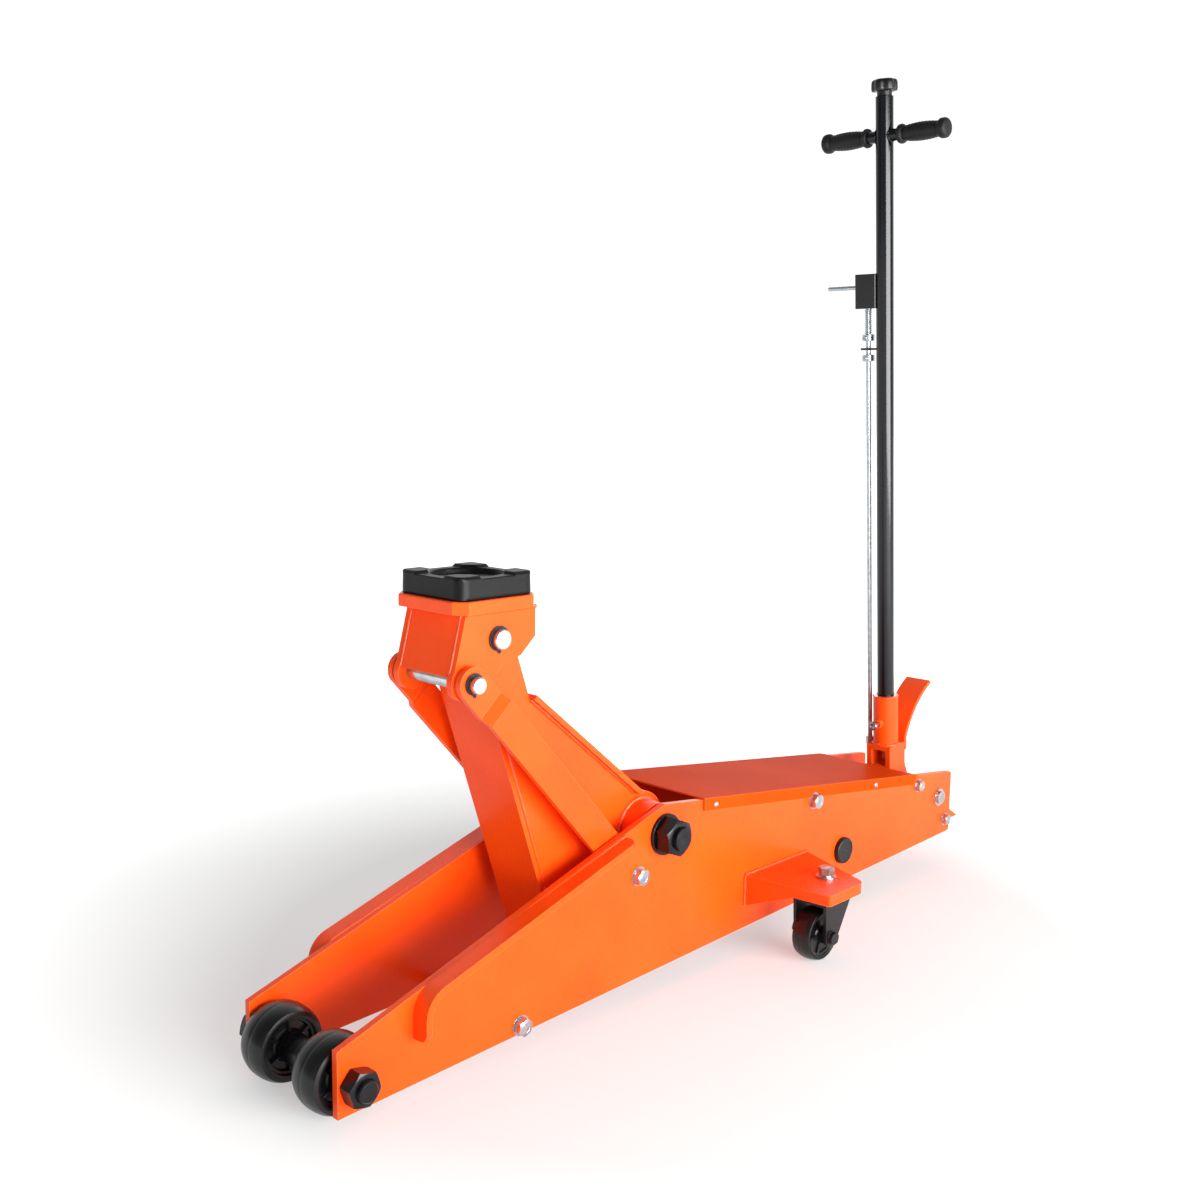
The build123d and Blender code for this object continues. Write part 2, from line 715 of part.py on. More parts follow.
# ================================================================ levelling links
def link(side):
    """Flat bar with round ends, its upper eye set inwards by a joggle."""
    across = hypot(link_offset_x, link_offset_z)
    link_base = Vector(link_pivot_x, 0, link_pivot_z)
    flat = Plane(origin=link_base, x_dir=arm_dir, z_dir=(0, 1, 0))
    edge = Plane(origin=link_base, x_dir=arm_dir, z_dir=flat.y_dir)
    joggle_end = arm_length - link_upper_eye_length
    joggle_start = joggle_end - link_joggle_length
    inner = link_outer_y - link_thickness
    with BuildPart() as bar:
        with BuildSketch(edge):
            with BuildLine():
                Polyline(
                    (-across, -side * link_outer_y),
                    (joggle_start, -side * link_outer_y),
                    (joggle_end, -side * (link_outer_y - link_joggle)),
                    (arm_length + across, -side * (link_outer_y - link_joggle)),
                    (arm_length + across, -side * (inner - link_joggle)),
                    (joggle_end, -side * (inner - link_joggle)),
                    (joggle_start, -side * inner),
                    (-across, -side * inner),
                    close=True,
                )
            make_face()
        extrude(amount=link_width, both=True)
        with BuildSketch(flat):
            with Locations((arm_length / 2, 0)):
                SlotCenterToCenter(arm_length, link_width)
            Circle(link_bolt_diameter / 2 + running_gap, mode=Mode.SUBTRACT)
            with Locations((arm_length, 0)):
                Circle(link_pin_diameter / 2 + link_pin_play, mode=Mode.SUBTRACT)
        extrude(amount=outer_y, both=True, mode=Mode.INTERSECT)
    return bar


for side_name, side in (("left", -1), ("right", 1)):
    write(link(side), f"link_{side_name}")


# ================================================================ saddle bracket
# Saddle sketches are in X and Z measured from the saddle pin.
def saddle_plane(y):
    """Plane parallel to the side plates with its origin on the saddle pin."""
    return Plane(origin=(saddle_pin_x, y, saddle_pin_z), x_dir=(1, 0, 0), z_dir=(0, -1, 0))


ear_front_x = link_offset_x
wall_foot_x = link_offset_x - 23
wall_foot_z = -47.0
with BuildPart() as saddle_ears:
    for side in (-1, 1):
        with BuildSketch(saddle_plane(side * (ear_inner_y + ear_thickness / 2))):
            with BuildLine():
                Polyline(
                    (ear_front_x, saddle_plate_rise),
                    (wall_foot_x, wall_foot_z),
                    (link_offset_x - ear_lobe_radius, link_offset_z),
                    (link_offset_x + ear_lobe_radius * 0.5, link_offset_z - ear_lobe_radius * 0.86),
                    (8, -40),
                    (43, -28.4),
                    (71, -3),
                    (71, saddle_plate_rise),
                    close=True,
                )
            make_face()
            with Locations((link_offset_x, link_offset_z)):
                Circle(ear_lobe_radius)
                Circle(link_pin_diameter / 2, mode=Mode.SUBTRACT)
            Circle(saddle_pin_diameter / 2, mode=Mode.SUBTRACT)
        extrude(amount=ear_thickness / 2, both=True)
        with BuildSketch(saddle_plane(side * (ear_inner_y + ear_thickness + ear_boss_height / 2))):
            with Locations((link_offset_x, link_offset_z)):
                Circle(ear_boss_radius)
                Circle(link_pin_diameter / 2, mode=Mode.SUBTRACT)
        extrude(amount=ear_boss_height / 2, both=True)
write(saddle_ears, "saddle_ears")

with BuildPart() as saddle_front_plate:
    with BuildSketch(saddle_plane(0)):
        with BuildLine():
            Polyline(
                (ear_front_x, saddle_plate_rise),
                (wall_foot_x, wall_foot_z),
                (wall_foot_x + front_wall_thickness, wall_foot_z),
                (ear_front_x + front_wall_thickness, saddle_plate_rise),
                close=True,
            )
        make_face()
    extrude(amount=ear_inner_y, both=True)
write(saddle_front_plate, "saddle_front_plate")

saddle_plate_x = saddle_pin_x + saddle_plate_setback
plate_low_z = saddle_pin_z + saddle_plate_rise
pad_low_z = plate_low_z + saddle_plate_thickness
with BuildPart() as saddle_top_plate:
    with BuildSketch(Plane.XY.offset(plate_low_z)) as top_outline:
        with Locations((saddle_plate_x, 0)):
            Rectangle(saddle_plate_size, saddle_plate_size)
        chamfer(top_outline.vertices(), saddle_plate_chamfer)
    extrude(amount=saddle_plate_thickness)
    chamfer(saddle_top_plate.faces().sort_by(Axis.Z)[-1].edges(), 1.5)
write(saddle_top_plate, "saddle_top_plate")

with BuildPart() as saddle_pad:
    with BuildSketch(Plane.XY.offset(pad_low_z)):
        with Locations((saddle_plate_x, 0)):
            RectangleRounded(pad_size, pad_size, pad_corner_radius)
    extrude(amount=pad_height)
    with BuildSketch(Plane.XY.offset(pad_low_z + pad_height - pad_corner_lift)):
        with Locations((saddle_plate_x, 0)):
            Rectangle(pad_size + 2, pad_size * 0.42)
            Rectangle(pad_size * 0.42, pad_size + 2)
            Circle(pad_dish_radius)
    extrude(amount=pad_corner_lift, mode=Mode.SUBTRACT)
    with BuildSketch(Plane.XY.offset(pad_low_z + pad_height - pad_corner_lift)):
        with Locations((saddle_plate_x, 0)):
            Circle(pad_dish_radius)
    extrude(amount=-pad_dish_depth, mode=Mode.SUBTRACT)
write(saddle_pad, "saddle_pad")

with BuildPart() as saddle_pin:
    cross_bar(saddle_pin_x, saddle_pin_z, saddle_pin_diameter / 2,
              -saddle_pin_half_length, saddle_pin_half_length)
    chamfer(saddle_pin.edges().filter_by(GeomType.CIRCLE), 1.5)
write(saddle_pin, "saddle_pin")

with BuildPart() as link_pin:
    cross_bar(link_pin_x, link_pin_z, link_pin_diameter / 2, -link_pin_half_length, link_pin_half_length)
    chamfer(link_pin.edges().filter_by(GeomType.CIRCLE), 1.5)
write(link_pin, "link_pin")

link_eye_outer_y = link_outer_y - link_joggle
with BuildPart() as saddle_circlips:
    for side in (-1, 1):
        for x, z, pin, start_y in (
            (saddle_pin_x, saddle_pin_z, saddle_pin_diameter, ear_inner_y + ear_thickness + side_gap),
            (link_pin_x, link_pin_z, link_pin_diameter, link_eye_outer_y + side_gap),
        ):
            clip_ys = sorted((side * start_y, side * (start_y + circlip_thickness)))
            cross_bar(x, z, pin / 2 + 5, *clip_ys)
            cross_bar(x, z, pin / 2, *clip_ys, Mode.SUBTRACT)
write(saddle_circlips, "saddle_circlips")


# ================================================================ hydraulic unit
def ram_plane(x):
    """Plane square to the ram at x: sketch axes are global Y and Z, origin on the ram."""
    return Plane(origin=(x, 0, ram_z), x_dir=(0, 1, 0), z_dir=(1, 0, 0))


def round_along_x(x, radius, length, z=ram_z, mode=Mode.ADD):
    """Round bar along X starting at x, for use inside a part builder."""
    with BuildSketch(Plane(origin=(x, 0, z), x_dir=(0, 1, 0), z_dir=(1, 0, 0))) as section:
        Circle(radius)
    extrude(section.sketch, amount=length, mode=mode)


head_front_x = lever_pin_x - push_head_front
head_rear_x = head_front_x + push_head_length
slot_length = lever_length * (1 - cos(radians(lever_swing))) + lever_pin_diameter + 2 * slot_play
with BuildPart() as push_head:
    with BuildSketch(ram_plane(head_front_x)):
        Rectangle(push_head_width, push_head_height)
    extrude(amount=push_head_length)
    with BuildSketch(side_plane(0)):
        with Locations((lever_pin_x, ram_z)):
            SlotOverall(slot_length, lever_pin_diameter + 2 * slot_play, rotation=90)
    extrude(amount=push_head_width, both=True, mode=Mode.SUBTRACT)
write(push_head, "push_head")

ram_rod_rear_x = cylinder_front_x + 130.0
with BuildPart() as ram_rod:
    round_along_x(head_rear_x, ram_diameter / 2, ram_rod_rear_x - head_rear_x)
write(ram_rod, "ram_rod")

cylinder_length = pump_block_front_x - cylinder_front_x
with BuildPart() as ram_cylinder:
    round_along_x(cylinder_front_x, cylinder_diameter / 2, cylinder_length)
    round_along_x(cylinder_front_x, gland_diameter / 2, gland_length)
    round_along_x(cylinder_front_x, ram_diameter / 2 + running_gap, cylinder_length - 8, mode=Mode.SUBTRACT)
write(ram_cylinder, "ram_cylinder")

block_mid_x = pump_block_front_x + pump_block_length / 2
block_rear_x = pump_block_front_x + pump_block_length
plunger_hole_depth = 150.0
with BuildPart() as pump_block:
    with BuildSketch(Plane.XY.offset(pump_block_low_z)):
        with Locations((block_mid_x, 0)):
            Rectangle(pump_block_length, pump_block_width)
    extrude(amount=ram_z + cylinder_diameter / 2 - pump_block_low_z)
    fillet(pump_block.edges().filter_by(Axis.X), 10)
    cross_bar(trunnion_x, trunnion_z, trunnion_diameter / 2, -outer_y, outer_y)
    round_along_x(block_rear_x, barrel_diameter / 2, barrel_length, plunger_z)
    round_along_x(block_rear_x + barrel_length - plunger_hole_depth, plunger_diameter / 2 + running_gap,
                  plunger_hole_depth, plunger_z, mode=Mode.SUBTRACT)
write(pump_block, "pump_block")

with BuildPart() as trunnion_caps:
    for side in (-1, 1):
        cap_ys = sorted((side * outer_y, side * (outer_y + trunnion_cap_height)))
        cross_bar(trunnion_x, trunnion_z, trunnion_cap_diameter / 2, *cap_ys)
    chamfer(trunnion_caps.edges().filter_by(lambda e: abs(e.center().Y) > outer_y + 1), 2)
write(trunnion_caps, "trunnion_caps")

plunger_face_x = handle_pivot_x - nose_radius - plunger_gap
plunger_rear_x = block_rear_x + barrel_length - 100.0
with BuildPart() as pump_plunger:
    round_along_x(plunger_rear_x, plunger_diameter / 2,
                  plunger_face_x - plunger_head_length - plunger_rear_x, plunger_z)
    round_along_x(plunger_face_x - plunger_head_length, plunger_head_radius, plunger_head_length, plunger_z)
write(pump_plunger, "pump_plunger")


# ================================================================ castors
def castor_fork(side):
    """Pressed fork hanging on the kingpin, with its axle bolt."""
    top_z = bracket_top_z - bracket_thickness - castor_gap
    race_low_z = top_z - fork_race_height
    bridge_low_z = race_low_z - fork_bridge_thickness
    wheel_x = kingpin_x - castor_trail
    cheek_mid = fork_inner_half_width + fork_cheek_thickness / 2
    outer = fork_inner_half_width + fork_cheek_thickness
    with BuildPart() as fork:
        with BuildSketch(Plane.XY.offset(race_low_z)):
            with Locations((kingpin_x, side * kingpin_y)):
                Circle(fork_race_radius)
        extrude(amount=fork_race_height)
        with BuildSketch(Plane.XY.offset(bridge_low_z)):
            with Locations((kingpin_x - 8, side * kingpin_y)):
                RectangleRounded(76, 2 * outer, 6)
        extrude(amount=fork_bridge_thickness)
        for cheek in (-1, 1):
            with BuildSketch(side_plane(side * kingpin_y + cheek * cheek_mid)):
                with BuildLine():
                    Polyline(
                        (kingpin_x - 46, race_low_z),
                        (wheel_x - fork_eye_radius, castor_radius),
                        (wheel_x + fork_eye_radius * 0.8, castor_radius - fork_eye_radius * 0.6),
                        (kingpin_x + 30, race_low_z),
                        close=True,
                    )
                make_face()
                with Locations((wheel_x, castor_radius)):
                    Circle(fork_eye_radius)
            extrude(amount=fork_cheek_thickness / 2, both=True)
        with BuildSketch(Plane.XY.offset(bridge_low_z)):
            with Locations((kingpin_x, side * kingpin_y)):
                Circle(kingpin_diameter / 2 + running_gap)
        extrude(amount=top_z - bridge_low_z, mode=Mode.SUBTRACT)
        cross_bar(wheel_x, castor_radius, castor_axle_diameter / 2,
                  side * kingpin_y - outer, side * kingpin_y + outer)
        cross_hex(wheel_x, castor_radius, small_bolt_flats,
                  side * kingpin_y - outer - small_bolt_head, side * kingpin_y - outer)
        cross_hex(wheel_x, castor_radius, small_bolt_flats,
                  side * kingpin_y + outer, side * kingpin_y + outer + small_bolt_head)
    return fork


def castor_wheel(side):
    """Castor wheel with a long hub and a crowned tread."""
    centre = Plane(origin=(kingpin_x - castor_trail, side * kingpin_y, castor_radius),
                   x_dir=(1, 0, 0), z_dir=(0, 0, 1))
    with BuildPart() as wheel:
        with BuildSketch(centre):
            roller_wheel(castor_radius, castor_wheel_width, 3.0, castor_hub_radius, castor_radius - 9, 6.0,
                         castor_axle_diameter / 2 + running_gap, castor_hub_half_width)
        revolve(axis=Axis(centre.origin, (0, 1, 0)))
    return wheel


for side_name, side in (("left", -1), ("right", 1)):
    write(castor_fork(side), f"castor_fork_{side_name}")
    write(castor_wheel(side), f"castor_wheel_{side_name}")

kingpin_nut_z = bracket_top_z - bracket_thickness - castor_gap - fork_race_height - fork_bridge_thickness
with BuildPart() as castor_kingpins:
    for side in (-1, 1):
        for low_z, height, radius in (
            (bracket_top_z, kingpin_washer_thickness, kingpin_washer_diameter / 2),
            (kingpin_nut_z - 8.5, bracket_top_z - kingpin_nut_z + 8.5, kingpin_diameter / 2),
        ):
            with BuildSketch(Plane.XY.offset(low_z)):
                with Locations((kingpin_x, side * kingpin_y)):
                    Circle(radius)
            extrude(amount=height)
        for low_z, height in ((bracket_top_z + kingpin_washer_thickness, kingpin_head), (kingpin_nut_z - 8.5, 8.0)):
            with BuildSketch(Plane.XY.offset(low_z)):
                with Locations((kingpin_x, side * kingpin_y)):
                    RegularPolygon(kingpin_flats / 2, 6, major_radius=False)
                    Circle(kingpin_flats / 2 * 1.11, mode=Mode.INTERSECT)
            extrude(amount=height)
write(castor_kingpins, "castor_kingpins")

# ================================================================ handle socket
# Sketches on block_side_plane use u across the handle (towards the rear) and v up its axis.
nose_lean = radians(handle_lean)
nose_u = eye_u - nose_reach * sin(nose_lean)
nose_v = eye_v - nose_reach * cos(nose_lean)
half_block = block_size / 2
with BuildPart() as socket_yoke:
    with BuildSketch(handle_plane):
        Rectangle(block_size, block_size)
    extrude(amount=-block_height)
    with BuildSketch(handle_plane.offset(-block_wall)):
        Rectangle(block_size - 2 * block_wall, block_size - 2 * block_wall)
    extrude(amount=-block_height, mode=Mode.SUBTRACT)
    with BuildSketch(block_side_plane):
        with Locations((-half_block, -block_wall - window_size / 2)):
            Rectangle(2.2 * block_wall, window_size)
    extrude(amount=window_size / 2, both=True, mode=Mode.SUBTRACT)
    for side in (-1, 1):
        with BuildSketch(block_side_plane.offset(-side * (half_block - block_wall / 2))):
            with BuildLine():
                Polyline(
                    (-half_block, -block_height + block_wall),
                    (-half_block, -block_height - 8),
                    (eye_u - socket_eye_radius, eye_v),
                    (eye_u + socket_eye_radius, eye_v),
                    (half_block, -block_height + block_wall),
                    close=True,
                )
            make_face()
            with Locations((eye_u, eye_v)):
                Circle(socket_eye_radius)
        extrude(amount=block_wall / 2, both=True)
    with BuildSketch(block_side_plane):
        with Locations((eye_u, eye_v)):
            Circle(socket_eye_radius - 4)
    extrude(amount=half_block, both=True)
    with BuildSketch(block_side_plane):
        with BuildLine():
            Polyline(
                (eye_u - nose_radius, eye_v),
                (nose_u - nose_radius, nose_v),
                (nose_u + nose_radius, nose_v),
                (eye_u + nose_radius, eye_v),
                close=True,
            )
        make_face()
        with Locations((nose_u, nose_v)):
            Circle(nose_radius)
    extrude(amount=nose_half_width, both=True)
    with BuildSketch(block_side_plane):
        with Locations((eye_u, eye_v)):
            Circle(handle_pin_diameter / 2 + running_gap)
    extrude(amount=block_size, both=True, mode=Mode.SUBTRACT)
    with BuildSketch(handle_plane):
        Circle(release_rod_diameter / 2 + 2)
    extrude(amount=-block_wall, mode=Mode.SUBTRACT)
write(socket_yoke, "socket_yoke")

with BuildPart() as socket_tube:
    with BuildSketch(handle_plane):
        Circle(socket_tube_diameter / 2)
        Circle(handle_diameter / 2 + socket_tube_gap, mode=Mode.SUBTRACT)
    extrude(amount=socket_tube_length)
    with BuildSketch(Plane(origin=handle_plane.from_local_coords(Vector(0, 0, 47)),
                           x_dir=(0, 1, 0), z_dir=-handle_side)):
        Circle(9)
    extrude(amount=socket_tube_diameter / 2 + 7)
    with BuildSketch(handle_plane):
        Circle(handle_diameter / 2 + socket_tube_gap)
    extrude(amount=socket_tube_length, mode=Mode.SUBTRACT)
    with BuildSketch(Plane(origin=handle_plane.from_local_coords(Vector(0, 0, 47)),
                           x_dir=(0, 1, 0), z_dir=-handle_side)):
        Circle(5)
    extrude(amount=socket_tube_diameter, mode=Mode.SUBTRACT)
write(socket_tube, "socket_tube")

screw_plane = Plane(origin=handle_plane.from_local_coords(Vector(0, 0, 47)), x_dir=(0, 1, 0), z_dir=-handle_side)
with BuildPart() as clamp_screw:
    with BuildSketch(screw_plane.offset(handle_diameter / 2)):
        Circle(5)
    extrude(amount=26)
    with BuildSketch(screw_plane.offset(handle_diameter / 2 + 26)):
        RegularPolygon(8, 6, major_radius=False)
    extrude(amount=6.5)
write(clamp_screw, "clamp_screw")

# Foot pedal: a bent strip on the block's rear face, rising towards the operator.
pedal_root_v = -18.0
pedal_knee = handle_plane.to_local_coords(Vector(701.2, 0, 256.0))
pedal_mid = handle_plane.to_local_coords(Vector(736.5, 0, 316.0))
pedal_tip = handle_plane.to_local_coords(Vector(791.0, 0, 361.0))
with BuildPart() as foot_pedal:
    with BuildSketch(block_side_plane):
        with BuildLine():
            Line((half_block + pedal_thickness / 2, pedal_root_v), (half_block + pedal_thickness / 2, pedal_knee.Z))
            ThreePointArc((half_block + pedal_thickness / 2, pedal_knee.Z), (pedal_mid.X, pedal_mid.Z),
                          (pedal_tip.X, pedal_tip.Z))
        trace(line_width=pedal_thickness)
    extrude(amount=half_block, both=True)
write(foot_pedal, "foot_pedal")

with BuildPart() as handle_pivot_pin:
    pin_end_y = outer_y + 8
    cross_bar(handle_pivot_x, handle_pivot_z, handle_pin_diameter / 2, -pin_end_y, pin_end_y)
    for side in (-1, 1):
        clip_ys = sorted((side * (outer_y + side_gap), side * (outer_y + side_gap + circlip_thickness)))
        sleeve_ys = sorted((side * (half_block + side_gap), side * (inner_y - side_gap)))
        cross_bar(handle_pivot_x, handle_pivot_z, handle_pin_diameter / 2 + 5, *clip_ys)
        cross_bar(handle_pivot_x, handle_pivot_z, handle_pin_diameter / 2 + 6, *sleeve_ys)
write(handle_pivot_pin, "handle_pivot_pin")

# ================================================================ handle tube, T-bar and grips
with BuildPart() as handle_tube:
    with BuildSketch(handle_plane.offset(handle_foot)):
        Circle(handle_diameter / 2)
        Circle(handle_diameter / 2 - handle_wall, mode=Mode.SUBTRACT)
    extrude(amount=handle_top - handle_foot)
write(handle_tube, "handle_tube")

t_bar_centre = handle_plane.from_local_coords(Vector(0, 0, t_bar_height))
t_bar_end_y = grip_outer_y - 5.0
with BuildPart() as t_bar:
    cross_bar(t_bar_centre.X, t_bar_centre.Z, t_bar_diameter / 2, -t_bar_end_y, t_bar_end_y)
    with BuildSketch(handle_plane.offset(t_bar_height - t_bar_diameter)):
        Circle(handle_diameter / 2)
    extrude(amount=2 * t_bar_diameter, mode=Mode.SUBTRACT)
write(t_bar, "t_bar")

grip_plane = Plane(origin=(t_bar_centre.X, 0, t_bar_centre.Z), x_dir=(1, 0, 0), z_dir=(0, 0, 1))
with BuildPart() as t_bar_grips:
    for side in (-1, 1):
        with BuildSketch(grip_plane):
            with BuildLine():
                bore = t_bar_diameter / 2
                l1 = Polyline(
                    (bore, side * grip_inner_y),
                    (grip_collar_radius - 2, side * grip_inner_y),
                    (grip_collar_radius, side * (grip_inner_y + 5)),
                    (grip_collar_radius - 2, side * (grip_inner_y + 11)),
                    (grip_waist_radius, side * (grip_inner_y + 15)),
                )
                l2 = ThreePointArc(l1 @ 1, (grip_belly_radius, side * (grip_inner_y + 50)),
                                   (grip_waist_radius + 1, side * (grip_outer_y - 20)))
                l3 = Polyline(
                    l2 @ 1,
                    (grip_cap_radius, side * (grip_outer_y - 15)),
                    (grip_cap_radius, side * (grip_outer_y - 4)),
                    (grip_cap_radius - 4, side * grip_outer_y),
                    (0, side * grip_outer_y),
                    (0, side * t_bar_end_y),
                    (bore, side * t_bar_end_y),
                    l1 @ 0,
                )
            make_face()
        revolve(axis=Axis(grip_plane.origin, (0, 1, 0)))
write(t_bar_grips, "t_bar_grips")

# ================================================================ release knob and rod
knob_low = handle_top + knob_gap + 8
with BuildPart() as release_knob:
    with BuildSketch(handle_plane.offset(handle_top + knob_gap)):
        Circle(knob_neck_diameter / 2)
    extrude(amount=8)
    with BuildSketch(handle_plane.offset(knob_low)):
        Circle(knob_diameter / 2 - 4)
        with PolarLocations(knob_diameter / 2 - 7, knob_lobes):
            Circle(7)
    extrude(amount=knob_height)
    chamfer(release_knob.faces().sort_by(Axis((0, 0, 0), handle_dir))[-1].edges(), 2)
    with BuildSketch(handle_plane.offset(handle_top + knob_gap)):
        Circle(release_rod_diameter / 2)
    extrude(amount=knob_height, mode=Mode.SUBTRACT)
write(release_knob, "release_knob")

with BuildPart() as release_rod:
    with BuildSketch(handle_plane.offset(-block_wall - 22)):
        Circle(release_rod_diameter / 2)
    extrude(amount=handle_top + knob_gap + knob_height + block_wall + 22)
    with BuildSketch(handle_plane.offset(-block_wall - 24)):
        Circle(9)
    extrude(amount=18)
write(release_rod, "release_rod")


# ================================================================ handle latch
def latch_plane(height):
    """Plane square to the handle at this height, origin on the latch rod's axis."""
    return Plane(origin=handle_plane.from_local_coords(Vector(0, latch_rod_y, height)),
                 x_dir=handle_side, z_dir=handle_dir)


lever_at = handle_plane.from_local_coords(Vector(0, 0, lever_height))
slot_gap = 1.0
block_inner_y = handle_diameter / 2 - 6
with BuildPart() as latch_block:
    with BuildSketch(handle_plane.offset(latch_block_low)) as block_plan:
        with Locations((0, (latch_block_outer_y + block_inner_y) / 2)):
            Rectangle(latch_block_depth, latch_block_outer_y - block_inner_y)
        fillet(block_plan.vertices(), 4)
        Circle(handle_diameter / 2, mode=Mode.SUBTRACT)
    extrude(amount=latch_block_height)
    with BuildSketch(latch_plane(latch_block_low)):
        Circle(latch_rod_diameter / 2 + running_gap)
    extrude(amount=lever_height - latch_block_low + latch_travel + 8, mode=Mode.SUBTRACT)
    with BuildSketch(Plane(origin=lever_at, x_dir=handle_side, z_dir=(0, 1, 0))):
        with Locations((0, -latch_travel / 2)):
            SlotOverall(lever_diameter + latch_travel + 2 * slot_gap,
                        lever_diameter + 2 * slot_gap, rotation=90)
    extrude(amount=latch_block_outer_y + 2, mode=Mode.SUBTRACT)
write(latch_block, "latch_block")

with BuildPart() as latch_guide_tab:
    with BuildSketch(handle_plane.offset(tab_low)):
        with Locations((0, (latch_rod_y + 12) / 2)):
            Rectangle(18, latch_rod_y + 12)
        Circle(handle_diameter / 2, mode=Mode.SUBTRACT)
        with Locations((0, latch_rod_y)):
            Circle(latch_rod_diameter / 2 + running_gap, mode=Mode.SUBTRACT)
    extrude(amount=tab_thickness)
write(latch_guide_tab, "latch_guide_tab")

fitting_low = -10.0
with BuildPart() as latch_rod:
    with BuildSketch(latch_plane(fitting_low)):
        Circle(latch_rod_diameter / 2)
    extrude(amount=lever_height + latch_rod_diameter / 2 - fitting_low)
    with BuildSketch(latch_plane(fitting_low)):
        RegularPolygon(8, 6, major_radius=False)
    extrude(amount=18)
write(latch_rod, "latch_rod")

with BuildPart() as latch_lever:
    cross_bar(lever_at.X, lever_at.Z, lever_diameter / 2, latch_rod_y, lever_end_y)
    with BuildSketch(latch_plane(lever_height - 20)):
        Circle(latch_rod_diameter / 2)
    extrude(amount=40, mode=Mode.SUBTRACT)
write(latch_lever, "latch_lever")

with BuildPart() as latch_collars:
    for low in (upper_collar_low, lower_collar_low):
        with BuildSketch(latch_plane(low)):
            Circle(collar_diameter / 2)
            Circle(latch_rod_diameter / 2, mode=Mode.SUBTRACT)
        extrude(amount=collar_height)
write(latch_collars, "latch_collars")

spring_low = upper_collar_low + collar_height
with BuildPart() as latch_spring:
    with BuildSketch(latch_plane(spring_low)):
        Circle(latch_spring_diameter / 2)
        Circle(latch_spring_diameter / 2 - latch_spring_wire, mode=Mode.SUBTRACT)
    extrude(amount=latch_block_low - spring_low)
write(latch_spring, "latch_spring")
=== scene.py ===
import math
import bmesh
import bpy
from mathutils import Matrix, Vector


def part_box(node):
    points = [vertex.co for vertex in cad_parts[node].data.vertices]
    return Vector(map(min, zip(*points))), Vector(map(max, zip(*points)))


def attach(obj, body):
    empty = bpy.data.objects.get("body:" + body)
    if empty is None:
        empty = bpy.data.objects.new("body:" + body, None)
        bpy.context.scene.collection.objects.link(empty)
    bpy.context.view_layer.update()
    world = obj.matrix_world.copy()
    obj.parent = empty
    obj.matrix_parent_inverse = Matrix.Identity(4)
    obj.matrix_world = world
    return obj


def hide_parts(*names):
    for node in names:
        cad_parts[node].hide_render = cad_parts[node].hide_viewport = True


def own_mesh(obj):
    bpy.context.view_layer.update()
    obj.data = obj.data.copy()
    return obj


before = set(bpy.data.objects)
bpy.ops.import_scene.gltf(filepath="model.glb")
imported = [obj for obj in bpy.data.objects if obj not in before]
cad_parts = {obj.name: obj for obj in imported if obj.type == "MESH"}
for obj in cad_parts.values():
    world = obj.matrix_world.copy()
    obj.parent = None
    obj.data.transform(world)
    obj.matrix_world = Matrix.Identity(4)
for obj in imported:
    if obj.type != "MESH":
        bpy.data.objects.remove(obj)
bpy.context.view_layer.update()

# ---------------------------------------------------------------- paint on the plates
# Gloss orange enamel sprayed over flame-cut plate: slight orange peel, slow drifts in depth of colour,
# and a lighter colour along every cut edge that stands partly for thinner paint and partly for a painted
# edge highlight.


def linear(code):
    """Linear RGBA from an sRGB hex colour."""
    values = [int(code[i:i + 2], 16) / 255 for i in (1, 3, 5)]
    return [v / 12.92 if v <= 0.04045 else ((v + 0.055) / 1.055) ** 2.4 for v in values] + [1.0]


def add(tree, kind, settings=None, **links):
    """Add a shader node, set its sockets and options, and link (node, output) pairs to its inputs."""
    node = tree.nodes.new(kind)
    for key, value in (settings or {}).items():
        if isinstance(key, int) or key in node.inputs:
            node.inputs[key].default_value = value
        else:
            setattr(node, key, value)
    for key, (source, output) in links.items():
        socket = node.inputs[int(key[1:])] if key[1:].isdigit() else node.inputs[key.replace("_", " ")]
        tree.links.new(source.outputs[output], socket)
    return node


